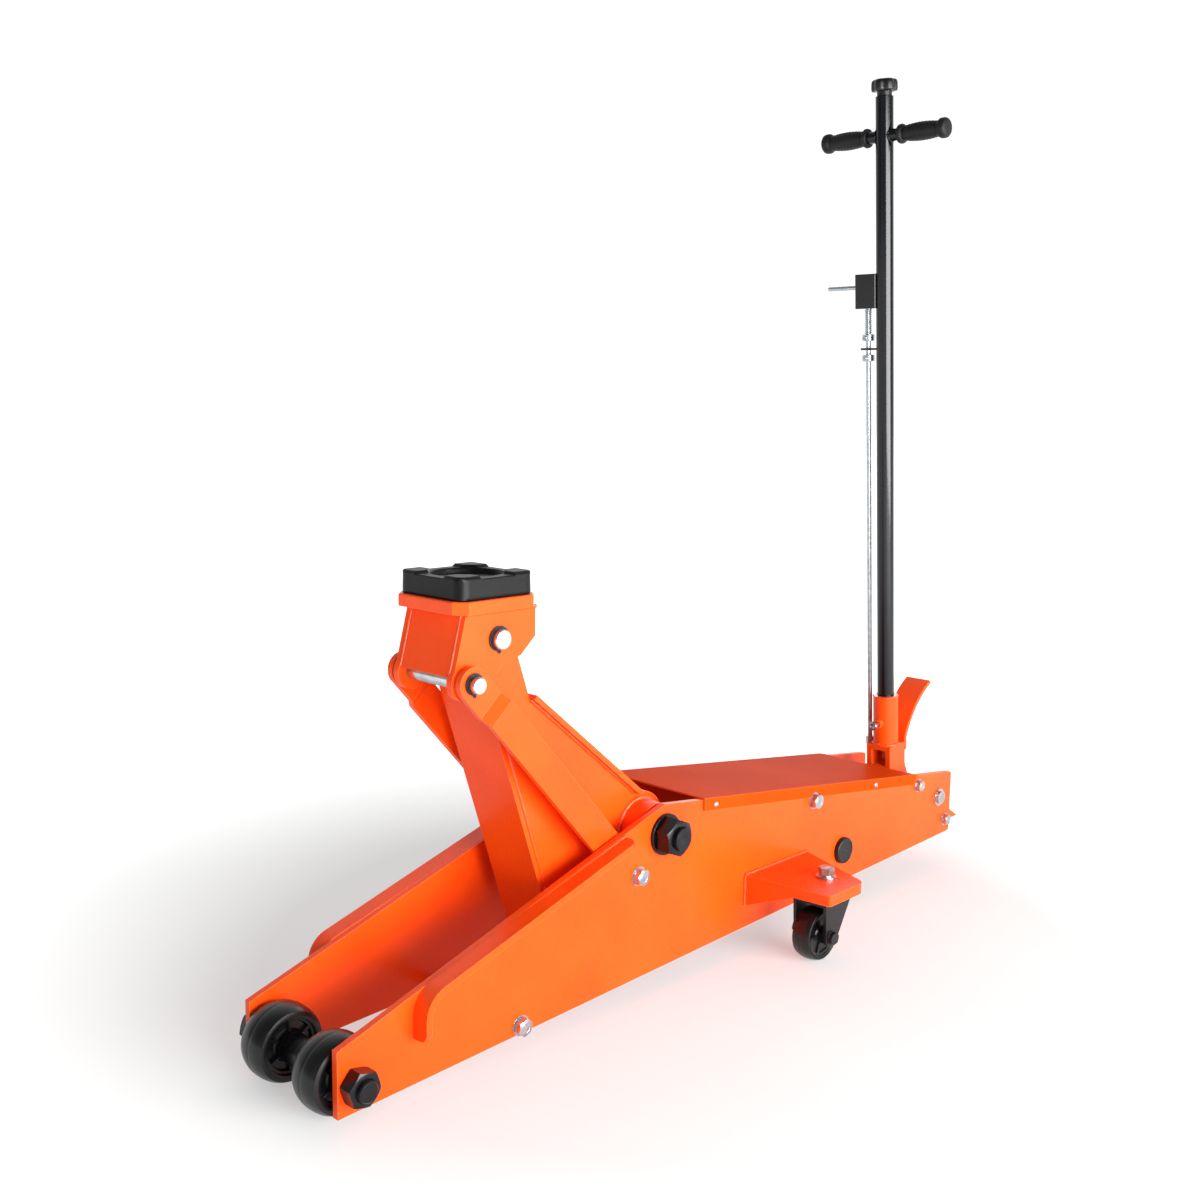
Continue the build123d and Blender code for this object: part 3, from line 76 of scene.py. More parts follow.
def finish_of(name, base, second, metallic, roughness, spread, patch_mm, grain_mm, bump_mm,
              coat=0.0, edge=None, edge_mm=1.2, stretch=(1, 1, 1), ior=1.5, shine=0.5):
    """A material: two colours drifting over patch_mm, a surface grain, and a softened edge, lighter when
    edge is given: partly worn paint, partly a painted highlight.
    """
    material = bpy.data.materials.new(name)
    material.use_nodes = True
    tree = material.node_tree
    tree.nodes.clear()
    place = add(tree, "ShaderNodeTexCoord")
    scaled = add(tree, "ShaderNodeMapping", {"Scale": stretch}, Vector=(place, "Object"))
    patches = add(tree, "ShaderNodeTexNoise", {"Scale": 1000 / patch_mm, "Detail": 3.0},
                  Vector=(place, "Object"))
    grain = add(tree, "ShaderNodeTexNoise", {"Scale": 1000 / grain_mm, "Detail": 4.0, "Roughness": 0.6},
                Vector=(scaled, "Vector"))
    drift = add(tree, "ShaderNodeMapRange", {"From Min": 0.35, "From Max": 0.65}, Value=(patches, "Fac"))
    colour = add(tree, "ShaderNodeMix", {"data_type": "RGBA", 6: linear(base), 7: linear(second)},
                 _0=(drift, "Result"))
    soft = add(tree, "ShaderNodeBevel", {"samples": 4, "Radius": edge_mm / 1000})
    top = (colour, 2)
    # A lighter colour where the bevelled normal turns from the true one: partly thinner, worn finish on the
    # edge and partly a painted edge highlight.
    if edge:
        shape = add(tree, "ShaderNodeNewGeometry")
        meet = add(tree, "ShaderNodeVectorMath", {"operation": "DOT_PRODUCT"},
                   _0=(soft, 0), _1=(shape, "Normal"))
        edge_wear_and_highlight = add(tree, "ShaderNodeMapRange", {"From Min": 0.97, "From Max": 0.8, "To Max": 0.75},
                   Value=(meet, "Value"))
        top = (add(tree, "ShaderNodeMix", {"data_type": "RGBA", 7: linear(edge)}, _0=(edge_wear_and_highlight, "Result"),
                   _6=top), 2)
    sheen = add(tree, "ShaderNodeMapRange", {"From Min": 0.3, "From Max": 0.7, "To Min": roughness - spread,
                                             "To Max": roughness + spread}, Value=(grain, "Fac"))
    bump = add(tree, "ShaderNodeBump", {"Strength": 0.6, "Distance": bump_mm / 1000},
               Height=(grain, "Fac"), Normal=(soft, 0))
    surface = add(tree, "ShaderNodeBsdfPrincipled", {"Metallic": metallic, "IOR": ior, "Coat Weight": coat,
                                                      "Coat Roughness": 0.08, "Specular IOR Level": shine},
                  Base_Color=top, Roughness=(sheen, "Result"), Normal=(bump, "Normal"))
    add(tree, "ShaderNodeOutputMaterial", None, Surface=(surface, "BSDF"))
    return material


orange = finish_of("gloss_orange_enamel", "#F14C0B", "#EB4409", metallic=0.0, roughness=0.3,
                   spread=0.05, patch_mm=160, grain_mm=2.2, bump_mm=0.03, coat=0.05, edge="#FF8A4C",
                   edge_mm=1.6, shine=0.18)
# The lid's enamel is a darker copy of the plates' orange: painted shade for its dimly lit top.
lid_orange_shaded = finish_of("orange_enamel_shaded_copy", "#D5400C", "#CC3A0A", metallic=0.0, roughness=0.36,
                       spread=0.05, patch_mm=220, grain_mm=2.2, bump_mm=0.03, edge="#FF8A4C",
                       edge_mm=1.2, ior=1.03)
bead_paint = finish_of("enamel_over_weld", "#F2500F", "#E6430A", metallic=0.0, roughness=0.26,
                       spread=0.06, patch_mm=14, grain_mm=1.2, bump_mm=0.12, coat=0.3)


def dress(material, *nodes):
    """Give carried-over CAD nodes this material."""
    for name in nodes:
        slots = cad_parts[name].data.materials
        slots.clear()
        slots.append(material)


dress(orange, "side_plate_left", "side_plate_right", "stiffener_ribs", "castor_brackets", "rear_cross_plate",
      "tie_rods", "ram_cylinder")

# ---------------------------------------------------------------- weld beads on the chassis
# Hand-laid fillet welds painted over with the plates: a rippled bead along each rib and round
# each castor bracket, made as a tube whose thickness beats once every few millimetres.


def settle(name, bm, material, body, angle=32):
    """Turn a bmesh into a named piece with smooth shading that rides on a body."""
    bmesh.ops.recalc_face_normals(bm, faces=bm.faces)
    mesh = bpy.data.meshes.new(name)
    bm.to_mesh(mesh)
    bm.free()
    mesh.materials.append(material)
    piece = bpy.data.objects.new(name, mesh)
    bpy.context.scene.collection.objects.link(piece)
    mesh.shade_smooth()
    mesh.set_sharp_from_angle(angle=math.radians(angle))
    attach(piece, body)
    return piece


def ring_skin(bm, rings, closed=False, caps=True):
    """Join rings of points, each with the same count, into a skin with optional end caps."""
    loops = [[bm.verts.new(p) for p in ring] for ring in rings]
    pairs = list(zip(loops, loops[1:])) + ([(loops[-1], loops[0])] if closed else [])
    for low, high in pairs:
        for i in range(len(low)):
            j = (i + 1) % len(low)
            bm.faces.new((low[i], low[j], high[j], high[i]))
    if caps and not closed:
        bm.faces.new(loops[0])
        bm.faces.new(loops[-1])


def bead(bm, path, radius, closed=False):
    """A rippled weld bead along a path of points in metres."""
    points = []
    for start, end in zip(path, path[1:] + path[:1] if closed else path[1:]):
        count = max(1, round((end - start).length / 0.0016))
        points += [start.lerp(end, k / count) for k in range(count)]
    if not closed:
        points.append(path[-1])
    rings = []
    for k, here in enumerate(points):
        ahead = points[(k + 1) % len(points)] if closed or k + 1 < len(points) else here
        behind = points[k - 1] if closed or k else here
        along = (ahead - behind).normalized()
        side = along.orthogonal().normalized()
        if abs(along.y) < 0.9:
            side = along.cross(Vector((0, 1, 0))).normalized()
        lift = along.cross(side)
        beat = 1 + 0.16 * math.sin(k * 2.1) + 0.07 * math.sin(k * 0.37 + 1)
        rings.append([here + radius * beat * (math.cos(a) * side + math.sin(a) * lift)
                      for a in (math.tau * i / 8 for i in range(8))])
    ring_skin(bm, rings, closed)


pivot_low, pivot_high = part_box("main_pivot_shaft")
pivot = (pivot_low + pivot_high) / 2
plate_low, plate_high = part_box("side_plate_left")
plate_out = -plate_low.y
nose_height = 0.1086      # top edge of the side plates at the nose
front_slope = (plate_high.z - nose_height) / (pivot.x - plate_low.x)
bracket_low, bracket_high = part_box("castor_brackets")
bracket_plate = 0.018     # thickness of each bracket's plate
chassis_welds = bmesh.new()
for side in (-1, 1):
    seam = side * (plate_out + 0.0012)
    for start, end, drop, radius in ((-0.630, -0.239, 0.0022, 0.0022), (-0.618, -0.240, 0.0148, 0.002)):
        rib = [Vector((x, seam, plate_high.z + front_slope * (x - pivot.x) - drop)) for x in (start, end)]
        bead(chassis_welds, rib, radius)
    top = [Vector((x, seam, bracket_high.z)) for x in (bracket_low.x, bracket_high.x)]
    bead(chassis_welds, top, 0.0032)
    below = [Vector((x, seam, bracket_high.z - bracket_plate)) for x in (0.084, bracket_high.x)]
    bead(chassis_welds, below, 0.0028)
    upright = [Vector((bracket_low.x, seam, z)) for z in (bracket_low.z + 0.002, bracket_high.z)]
    bead(chassis_welds, upright, 0.0028)
settle("chassis_welds", chassis_welds, bead_paint, "chassis", 60)

# ---------------------------------------------------------------- front axle and its nuts
# Black-oxide steel: a turned axle with rolled threads at both ends and heavy hexagon nuts,
# their corners chamfered at thirty degrees.
black_steel = finish_of("black_oxide_steel", "#0E0F16", "#08090E", metallic=0.35, roughness=0.27,
                        spread=0.06, patch_mm=24, grain_mm=0.9, bump_mm=0.03, coat=0.1, edge="#3C3D44",
                        edge_mm=0.7, shine=0.4)


def facing(centre, axis):
    """Matrix that stands local +Z along an axis at a centre."""
    turn = Vector((0, 0, 1)).rotation_difference(Vector(axis)).to_matrix().to_4x4()
    return Matrix.Translation(centre) @ turn


def lathe(bm, place, profile, segments=64, caps=True):
    """Turn (radius, height) points about local Z."""
    rings = []
    for radius, height in profile:
        radius = max(radius, 1e-5)
        rings.append([place @ Vector((radius * math.cos(a), radius * math.sin(a), height))
                      for a in (math.tau * i / segments for i in range(segments))])
    ring_skin(bm, rings, caps=caps)


def hexagon(bm, place, flats, height, spin=0.0, bore=0.0, both=False):
    """Hexagon head or nut standing on local Z = 0, corners chamfered on top and, for a nut, below."""
    reach = flats / 2
    count = 72
    angles = [math.tau * i / count for i in range(count)]

    def at(a):
        return reach / math.cos((a + math.pi / 6) % (math.pi / 3) - math.pi / 6)

    def drop(a):
        return max(0.0, at(a) - 0.97 * reach) * math.tan(math.radians(30))

    def ring(radius, level):
        return [place @ Vector((radius(a) * math.cos(a + spin), radius(a) * math.sin(a + spin), level(a)))
                for a in angles]

    rings = [ring(lambda a: 0.94 * reach, lambda a: 0.0)]
    rings.append(ring(at, (lambda a: drop(a)) if both else (lambda a: 0.0002)))
    rings.append(ring(at, lambda a: height - drop(a)))
    rings.append(ring(lambda a: 0.95 * reach, lambda a: height))
    if bore:
        rings.append(ring(lambda a: bore * 1.08, lambda a: height))
        rings.append(ring(lambda a: bore, lambda a: height - 0.08 * bore))
        rings.append(ring(lambda a: bore, lambda a: 0.0))
        ring_skin(bm, rings, closed=True)
    else:
        ring_skin(bm, rings)


def thread(bm, place, radius, pitch, length):
    """Rolled thread on a stud: a helix of ridges with a chamfered tip."""
    rings = []
    steps = round(length / pitch * 4)
    for k in range(steps + 1):
        level = length * k / steps
        taper = min(1.0, (length - level) / (1.2 * pitch) + 0.1)
        ring = []
        for i in range(48):
            phase = (level / pitch - i / 48) % 1.0
            depth = 0.55 * pitch * abs(2 * phase - 1)
            a = math.tau * i / 48
            ring.append(place @ Vector(((radius - depth) * (0.93 + 0.07 * taper) * math.cos(a),
                                        (radius - depth) * (0.93 + 0.07 * taper) * math.sin(a), level)))
        rings.append(ring)
    ring_skin(bm, rings)


axle_low, axle_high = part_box("front_axle")
axle = (axle_low + axle_high) / 2
nuts = bmesh.new()
for side in (-1, 1):
    seat = Vector((axle.x, side * plate_out, axle.z))
    hexagon(nuts, facing(seat, (0, side, 0)), flats=0.046, height=0.024, spin=0.3, bore=0.0151,
            both=True)
    thread(nuts, facing(seat + Vector((0, side * 0.022, 0)), (0, side, 0)), 0.0154, 0.002, 0.0082)
piece = settle("front_axle_nut_pair", nuts, black_steel, "chassis")
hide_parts("front_axle_nuts")
dress(black_steel, "front_axle", "front_axle_spacers")

# ---------------------------------------------------------------- front wheels
# Moulded black wheels: a crowned tread with a parting line, rolled shoulders, a stepped dish
# stiffened by short ribs, and a hub that runs on the axle.
wheel_black = finish_of("moulded_black_wheel", "#09090B", "#060607", metallic=0.0, roughness=0.34,
                        spread=0.07, patch_mm=30, grain_mm=1.6, bump_mm=0.05, coat=0.1, edge="#1C1C1E",
                        edge_mm=1.0, shine=0.35)


def wheel_skin(bm, centre, radius, half, crown, rim, hub, bore, recess, hub_half, ribs):
    """A wheel turned about Y with a dish and ribs on both faces."""
    place = facing(centre, (0, 1, 0))
    tread = []
    for k in range(25):
        t = -1 + k / 12
        dip = 0.0006 if abs(t) < 0.02 else 0.0
        tread.append((radius - crown * abs(t) ** 2.4 - dip, half * 0.94 * t))
    face = [(radius - crown - 0.004, 0.99 * half), (rim + 0.003, half), (rim, half - 0.0012),
            (rim - 0.001, half - 0.45 * recess), (rim - 0.0045, half - 0.55 * recess),
            (rim - 0.006, half - recess), (hub + 0.002, half - recess), (hub, half - recess + 0.002),
            (hub - 0.001, hub_half - 0.001), (hub - 0.002, hub_half), (bore + 0.001, hub_half),
            (bore, hub_half - 0.001)]
    profile = tread + face + [(r, -h) for r, h in reversed(face)]
    rings = []
    for r, h in profile:
        rings.append([place @ Vector((r * math.cos(a), r * math.sin(a), h))
                      for a in (math.tau * i / 96 for i in range(96))])
    ring_skin(bm, rings, closed=True)
    for face_side in (-1, 1):
        for k in range(ribs):
            turn = Matrix.Rotation(math.tau * (k + 0.5) / ribs, 4, "Z")
            middle = Matrix.Translation(((hub + rim - 0.004) / 2, 0, face_side * (half - 0.78 * recess)))
            size = Matrix.Diagonal(((rim - hub - 0.002), 0.0035, 0.5 * recess, 1))
            block = bmesh.ops.create_cube(bm, size=1, matrix=place @ turn @ middle @ size)
            edges = list({e for v in block["verts"] for e in v.link_edges})
            bmesh.ops.bevel(bm, geom=edges, offset=0.0007, segments=2, affect="EDGES")


for name in ("left", "right"):
    low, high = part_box(f"front_wheel_{name}")
    skin = bmesh.new()
    wheel_skin(skin, (low + high) / 2, (high.z - low.z) / 2, (high.y - low.y) / 2, crown=0.0055,
               rim=0.040, hub=0.022, bore=0.01505, recess=0.012, hub_half=0.0273, ribs=6)
    piece = settle(f"front_wheel_{name}_moulding", skin, wheel_black, f"front_wheel_{name}")
    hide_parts(f"front_wheel_{name}")

# ---------------------------------------------------------------- main pivot nuts
# The thickest shaft in the jack ends in threads, with a wide washer and a black nut each side
# and a centre drilling left from turning.
nuts = bmesh.new()
for side in (-1, 1):
    seat = Vector((pivot.x, side * plate_out, pivot.z))
    lathe(nuts, facing(seat, (0, side, 0)), [(0.0185, 0.0), (0.0333, 0.0), (0.034, 0.0008), (0.034, 0.0048),
                                            (0.0328, 0.006), (0.0185, 0.006)])
    hexagon(nuts, facing(seat + Vector((0, side * 0.006, 0)), (0, side, 0)), flats=0.055, height=0.028,
            spin=0.12, bore=0.0181, both=True)
    thread(nuts, facing(seat + Vector((0, side * 0.032, 0)), (0, side, 0)), 0.0184, 0.003, 0.0086)
    lathe(nuts, facing(seat + Vector((0, side * 0.0406, 0)), (0, side, 0)),
          [(0.0155, 0.0), (0.0152, 0.0008), (0.0034, 0.0008), (0.001, 0.0002)], 48)
piece = settle("main_pivot_nut_pair", nuts, black_steel, "chassis")
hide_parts("main_pivot_nuts")
ground_steel = finish_of("ground_bright_steel", "#C3C6C9", "#A9ADB1", metallic=1.0, roughness=0.24,
                         spread=0.06, patch_mm=18, grain_mm=0.7, bump_mm=0.012, edge="#E8EAEC",
                         edge_mm=0.8, stretch=(1, 12, 1), ior=2.5)
dress(black_steel, "main_pivot_shaft")

# ---------------------------------------------------------------- bolts through the side plates
# Zinc-plated hexagon bolts on flat and split washers hold the tie rods and the links' pivots.
zinc = finish_of("bright_zinc_plate", "#B9BEC2", "#9EA6AC", metallic=1.0, roughness=0.3, spread=0.08,
                 patch_mm=9, grain_mm=0.6, bump_mm=0.02, edge="#DDE2E6", edge_mm=0.5, ior=2.0)


def bolt(bm, seat, axis, flats, head, washer, thick, spin):
    """Flat washer, split washer and hexagon head standing on a face."""
    place = facing(seat, axis)
    lathe(bm, place, [(0.3 * flats, 0), (washer - 0.0004, 0), (washer, 0.0004), (washer, 0.6 * thick),
                      (0.3 * flats, 0.6 * thick)], 48)
    lathe(bm, place, [(0.3 * flats, 0.6 * thick), (0.5 * flats, 0.6 * thick), (0.5 * flats, thick),
                      (0.3 * flats, thick)], 48)
    above = place @ Matrix.Translation((0, 0, thick))
    hexagon(bm, above, flats, head, spin)
    lathe(bm, above @ Matrix.Translation((0, 0, head - 0.0002)),
          [(0.36 * flats, 0), (0.35 * flats, 0.0005), (0.30 * flats, 0.0005), (0.29 * flats, 0.0001)], 48)


bolts = bmesh.new()
ties = {
    "front": (-0.4555, 0.0383),
    "middle": (0.2648, 0.2282),
    "stop": (0.6229, 0.1853),
    "rear": (0.7328, 0.0919),
}
for k, (name, (x, z)) in enumerate(ties.items()):
    big = name in ("front", "middle")
    for side in (-1, 1):
        bolt(bolts, Vector((x, side * plate_out, z)), (0, side, 0), 0.024 if big else 0.019,
             0.010 if big else 0.0075, 0.0155 if big else 0.013, 0.0025, 0.4 * k + 0.2 * side)
piece = settle("tie_bolt_heads", bolts, zinc, "chassis")
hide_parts("tie_bolts")

low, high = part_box("link_pivot_bolts")
bolts = bmesh.new()
for side in (-1, 1):
    bolt(bolts, Vector(((low.x + high.x) / 2, side * plate_out, (low.z + high.z) / 2)), (0, side, 0),
         0.024, 0.010, 0.0155, 0.0025, 0.25)
    inside = facing(Vector(((low.x + high.x) / 2, side * plate_out, (low.z + high.z) / 2)), (0, -side, 0))
    lathe(bolts, inside, [(0.010, 0), (0.010, 0.026), (0.013, 0.0262), (0.013, 0.028), (0.004, 0.028)], 40)
piece = settle("link_pivot_bolt_pair", bolts, zinc, "chassis")
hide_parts("link_pivot_bolts")

# ---------------------------------------------------------------- top cover
# A folded sheet-steel lid in the same enamel, painted darker as shade on its dim top, held by small pan-head
# screws in its flanges.
dress(lid_orange_shaded, "top_cover")
low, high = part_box("cover_screws")
screws = bmesh.new()
for x, z in ((low.x + 0.005, high.z - 0.005), (high.x - 0.005, low.z + 0.005)):
    for side in (-1, 1):
        place = facing(Vector((x, side * (high.y - 0.0025), z)), (0, side, 0))
        lathe(screws, place, [(0.005, 0), (0.005, 0.0008), (0.0042, 0.0018), (0.0028, 0.0024),
                              (0.0014, 0.0024), (0.0010, 0.0012)], 32)
piece = settle("cover_screw_heads", screws, zinc, "chassis")
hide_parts("cover_screws")

# ---------------------------------------------------------------- hydraulic unit
# Machined pump block on two trunnions under black push-in caps, with a chromed ram and plunger.
machined = finish_of("machined_steel", "#7D8084", "#6B6E72", metallic=1.0, roughness=0.38, spread=0.08,
                     patch_mm=40, grain_mm=0.8, bump_mm=0.02, edge="#A6A9AC", edge_mm=0.8,
                     stretch=(1, 8, 8), ior=2.3)
chromed = finish_of("hard_chrome", "#D4D7DA", "#C6CACD", metallic=1.0, roughness=0.12, spread=0.03,
                    patch_mm=60, grain_mm=0.9, bump_mm=0.004, ior=2.9)
dress(machined, "pump_block", "push_head")
dress(chromed, "ram_rod", "pump_plunger")
cap_plastic = finish_of("black_cap_plastic", "#0E0E0F", "#09090A", metallic=0.0, roughness=0.42,
                        spread=0.07, patch_mm=12, grain_mm=0.8, bump_mm=0.03, edge="#1E1E20", shine=0.4)
low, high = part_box("trunnion_caps")
caps = bmesh.new()
for side in (-1, 1):
    place = facing(Vector(((low.x + high.x) / 2, side * plate_out, (low.z + high.z) / 2)), (0, side, 0))
    lathe(caps, place, [(0.025, 0), (0.025, 0.0072), (0.0243, 0.0086), (0.0225, 0.0096), (0.0205, 0.0098),
                        (0.0198, 0.0088), (0.004, 0.0084), (0.0032, 0.0094), (0.0004, 0.0098)], 72)
piece = settle("trunnion_cap_pair", caps, cap_plastic, "chassis")
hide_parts("trunnion_caps")

# ---------------------------------------------------------------- castors
# Pressed forks in black paint hang on plated kingpins; narrow moulded wheels trail behind them.
castor_paint = finish_of("black_castor_paint", "#0A0B10", "#07080B", metallic=0.1, roughness=0.34,
                         spread=0.08, patch_mm=22, grain_mm=1.4, bump_mm=0.06, coat=0.12,
                         edge="#2A2B2E", edge_mm=1.5, shine=0.4)
dress(castor_paint, "castor_fork_left", "castor_fork_right")
kingpin_x = 0.158
kingpin_y = 0.214
for name, side in (("left", -1), ("right", 1)):
    low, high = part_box(f"castor_wheel_{name}")
    centre = (low + high) / 2
    skin = bmesh.new()
    wheel_skin(skin, centre, (high.z - low.z) / 2, half=0.018, crown=0.003, rim=0.037, hub=0.0145,
               bore=0.00605, recess=0.007, hub_half=(high.y - low.y) / 2, ribs=5)
    piece = settle(f"castor_wheel_{name}_moulding", skin, wheel_black, f"castor_wheel_{name}")
    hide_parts(f"castor_wheel_{name}")
    _, fork_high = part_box(f"castor_fork_{name}")
    race = bmesh.new()
    crown = Vector((kingpin_x, side * kingpin_y, fork_high.z - 0.0083))
    lathe(race, facing(crown, (0, 0, 1)),
          [(0.0329, 0), (0.0336, 0.0008), (0.0336, 0.0026), (0.0325, 0.0033), (0.0325, 0.0045),
           (0.0337, 0.0052), (0.0337, 0.0072), (0.0328, 0.0080)], 72, caps=False)
    for cheek in (-1, 1):
        nut = facing(Vector((centre.x, centre.y + cheek * 0.0340, centre.z)), (0, cheek, 0))
        lathe(race, nut, [(0.007, 0), (0.0125, 0), (0.0125, 0.0012), (0.007, 0.0012)], 40)
    settle(f"castor_race_{name}", race, castor_paint, f"castor_{name}")
low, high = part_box("castor_kingpins")
pins = bmesh.new()
for side in (-1, 1):
    seat = Vector((kingpin_x, side * kingpin_y, bracket_high.z))
    bolt(pins, seat, (0, 0, 1), 0.024, 0.0128, 0.0175, 0.006, 0.5)
    lathe(pins, facing(seat, (0, 0, -1)), [(0.008, 0), (0.008, seat.z - low.z - 0.0005),
                                                       (0.0072, seat.z - low.z)], 40)
    under = Vector((kingpin_x, side * kingpin_y, low.z))
    hexagon(pins, facing(under, (0, 0, 1)), flats=0.024, height=0.008, spin=0.2, both=True)
piece = settle("castor_kingpin_bolts", pins, zinc, "chassis")
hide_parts("castor_kingpins")

# ---------------------------------------------------------------- lifting arm
# Two profiled webs boxed in by a back and a front plate, all welded round a heavy torque tube
# that turns on bronze bushes.
dress(orange, "arm_webs", "arm_back_plate", "arm_front_plate", "torque_tube")
bronze = finish_of("bronze_bush", "#B98B4E", "#A37840", metallic=1.0, roughness=0.34, spread=0.06,
                   patch_mm=12, grain_mm=0.7, bump_mm=0.01, edge="#D9B07A", ior=1.2)
dress(bronze, "pivot_bushes")
dress(ground_steel, "lever_pin")
arm_angle = math.radians(47.83)
along = Vector((-math.cos(arm_angle), 0, math.sin(arm_angle)))
behind = Vector((math.sin(arm_angle), 0, math.cos(arm_angle)))
arm_welds = bmesh.new()
for side in (-1, 1):
    face = Vector((0, side * 0.0535, 0))
    ring = [pivot + face + 0.0468 * (math.cos(a) * along + math.sin(a) * behind)
            for a in (math.tau * i / 90 for i in range(90))]
    bead(arm_welds, ring, 0.0045, closed=True)
    back = [pivot + face + u * along + (-0.0117 - 0.15 * (u - 0.333)) * behind for u in (0.056, 0.344)]
    bead(arm_welds, back, 0.0035)
    front = [pivot + face + u * along + (-0.2335 + 0.4305 * u) * behind for u in (0.024, 0.420)]
    bead(arm_welds, front, 0.0025)
settle("arm_welds", arm_welds, bead_paint, "arm", 60)

# ---------------------------------------------------------------- levelling links
# Plain flat bars, joggled near the top, that keep the saddle upright as the arm rises.
dress(orange, "link_left", "link_right")

# ---------------------------------------------------------------- saddle bracket and its pins
# Two profiled ears and a front plate welded under a thick square plate, hung on ground pins
# that are kept by spring circlips.
dress(orange, "saddle_ears", "saddle_front_plate", "saddle_top_plate")
dress(ground_steel, "saddle_pin", "link_pin")
pin_low, pin_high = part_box("saddle_pin")
saddle_pin = (pin_low + pin_high) / 2
low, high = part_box("link_pin")
link_pin = (low + high) / 2
_, ears_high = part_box("saddle_ears")
saddle_welds = bmesh.new()
for side in (-1, 1):
    seam = side * (saddle_pin.y + 0.0660)
    top = [Vector((x, seam, ears_high.z - 0.001)) for x in (saddle_pin.x - 0.060, ears_high.x)]
    bead(saddle_welds, top, 0.0028)
    foot = Vector((saddle_pin.x - 0.0825, side * 0.0545, saddle_pin.z - 0.046))
    head = Vector((saddle_pin.x - 0.0600, side * 0.0545, ears_high.z - 0.002))
    bead(saddle_welds, [foot, head], 0.0018)
across = [Vector((saddle_pin.x - 0.0605, y, ears_high.z - 0.0012)) for y in (-0.060, 0.060)]
bead(saddle_welds, across, 0.0026)
settle("saddle_welds", saddle_welds, bead_paint, "saddle", 60)
spring_black = finish_of("phosphated_spring_steel", "#2A2A2C", "#1C1C1E", metallic=0.6, roughness=0.4,
                         spread=0.08, patch_mm=6, grain_mm=0.5, bump_mm=0.02, edge="#55565A",
                         edge_mm=0.4)


def circlip(bm, place, bore, width, thick):
    """External circlip: an open ring, widest opposite its gap, with two pierced lugs."""
    rings = []
    for k in range(61):
        a = math.radians(24 + 312 * k / 60)
        outer = bore + width * (0.62 + 0.38 * (1 - math.cos(a)) / 2)
        flat = Vector((math.cos(a), math.sin(a), 0))
        above = Vector((0, 0, thick))
        rings.append([place @ (bore * flat), place @ (outer * flat), place @ (outer * flat + above),
                      place @ (bore * flat + above)])
    ring_skin(bm, rings)
    for a in (math.radians(22), math.radians(-22)):
        reach = bore + 0.75 * width
        lug = place @ Matrix.Translation((reach * math.cos(a), reach * math.sin(a), 0))
        profile = [(0.0012, 0), (0.6 * width, 0), (0.6 * width, thick), (0.0012, thick), (0.0012, 0.0003)]
        lathe(bm, lug, profile, 20, caps=False)


clips = bmesh.new()
for centre, radius, height in ((saddle_pin, 0.015, 0.066), (link_pin, 0.0125, 0.0825)):
    for side in (-1, 1):
        place = facing(Vector((centre.x, side * height, centre.z)), (0, side, 0))
        circlip(clips, place @ Matrix.Rotation(-1.2, 4, "Z"), radius, 0.0045, 0.002)
piece = settle("saddle_clip_set", clips, spring_black, "saddle")
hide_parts("saddle_circlips")

# ---------------------------------------------------------------- saddle pad
# One moulded block of hard black rubber: rounded sides, a lip standing at each corner, a wide
# dish in the middle and fine moulding grain.
rubber = finish_of("moulded_black_rubber", "#07080A", "#040405", metallic=0.0, roughness=0.42,
                   spread=0.08, patch_mm=26, grain_mm=1.3, bump_mm=0.12, edge="#141418", edge_mm=1.2,
                   shine=0.2)
low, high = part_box("saddle_pad")
centre = (low + high) / 2
half = (high.x - low.x) / 2
corner = 0.016
lift = 0.004
dish = 0.009
dish_radius = 0.054
lip_start = 0.21 * (high.x - low.x)


def step(value, start, end):
    t = min(1.0, max(0.0, (value - start) / (end - start)))
    return t * t * (3 - 2 * t)


def pad_edge(a):
    """Point on the rounded-square outline at this share of the way round."""
    quarter = int(a * 4) % 4
    t = a * 4 - int(a * 4)
    straight = 2 * (half - corner)
    arc = math.pi / 2 * corner
    run = t * (straight + arc)
    if run < straight:
        spot = Vector((half, run - straight / 2, 0))
    else:
        turn = (run - straight) / corner
        spot = Vector((half - corner + corner * math.cos(turn), half - corner + corner * math.sin(turn), 0))
    return Matrix.Rotation(math.pi / 2 * quarter, 3, "Z") @ spot


def pad_height(x, y):
    """Height of the pad's top above its seat."""
    top = high.z - low.z
    reach = math.hypot(x, y)
    lip = step(min(abs(x), abs(y)), lip_start, lip_start + 0.0025)
    lip *= step(reach, dish_radius, dish_radius + 0.0025)
    rim = max(abs(x), abs(y))
    level = top - lift + lift * lip
    level -= 0.0025 * lip * step(rim, half - 0.004, half - 0.0015)
    level -= dish * step(-reach, -dish_radius, 0.003 - dish_radius)
    rib = abs(math.sin(reach * math.pi / 0.010)) ** 6
    rib *= step(-reach, 0.008 - dish_radius, 0.010 - dish_radius)
    return level + 0.0012 * rib


outline = [pad_edge(i / 240) for i in range(240)]
pad = bmesh.new()
rings = []
for shrink, level in ((0.985, 0.0), (1.0, 0.0015), (1.0, 0.006), (0.994, 0.0265)):
    rings.append([Vector((centre.x, centre.y, low.z)) + shrink * p + Vector((0, 0, level)) for p in outline])
for k in range(72):
    shrink = 0.992 * (1 - (k / 72) ** 1.08) + 0.004
    soften = 0.0016 * (1 - step(k, 0, 2.2))
    rings.append([Vector((centre.x + shrink * p.x, centre.y + shrink * p.y,
                          low.z + pad_height(shrink * p.x, shrink * p.y) - soften)) for p in outline])
ring_skin(pad, rings)
piece = settle("saddle_rubber_pad", pad, rubber, "saddle", 40)
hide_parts("saddle_pad")

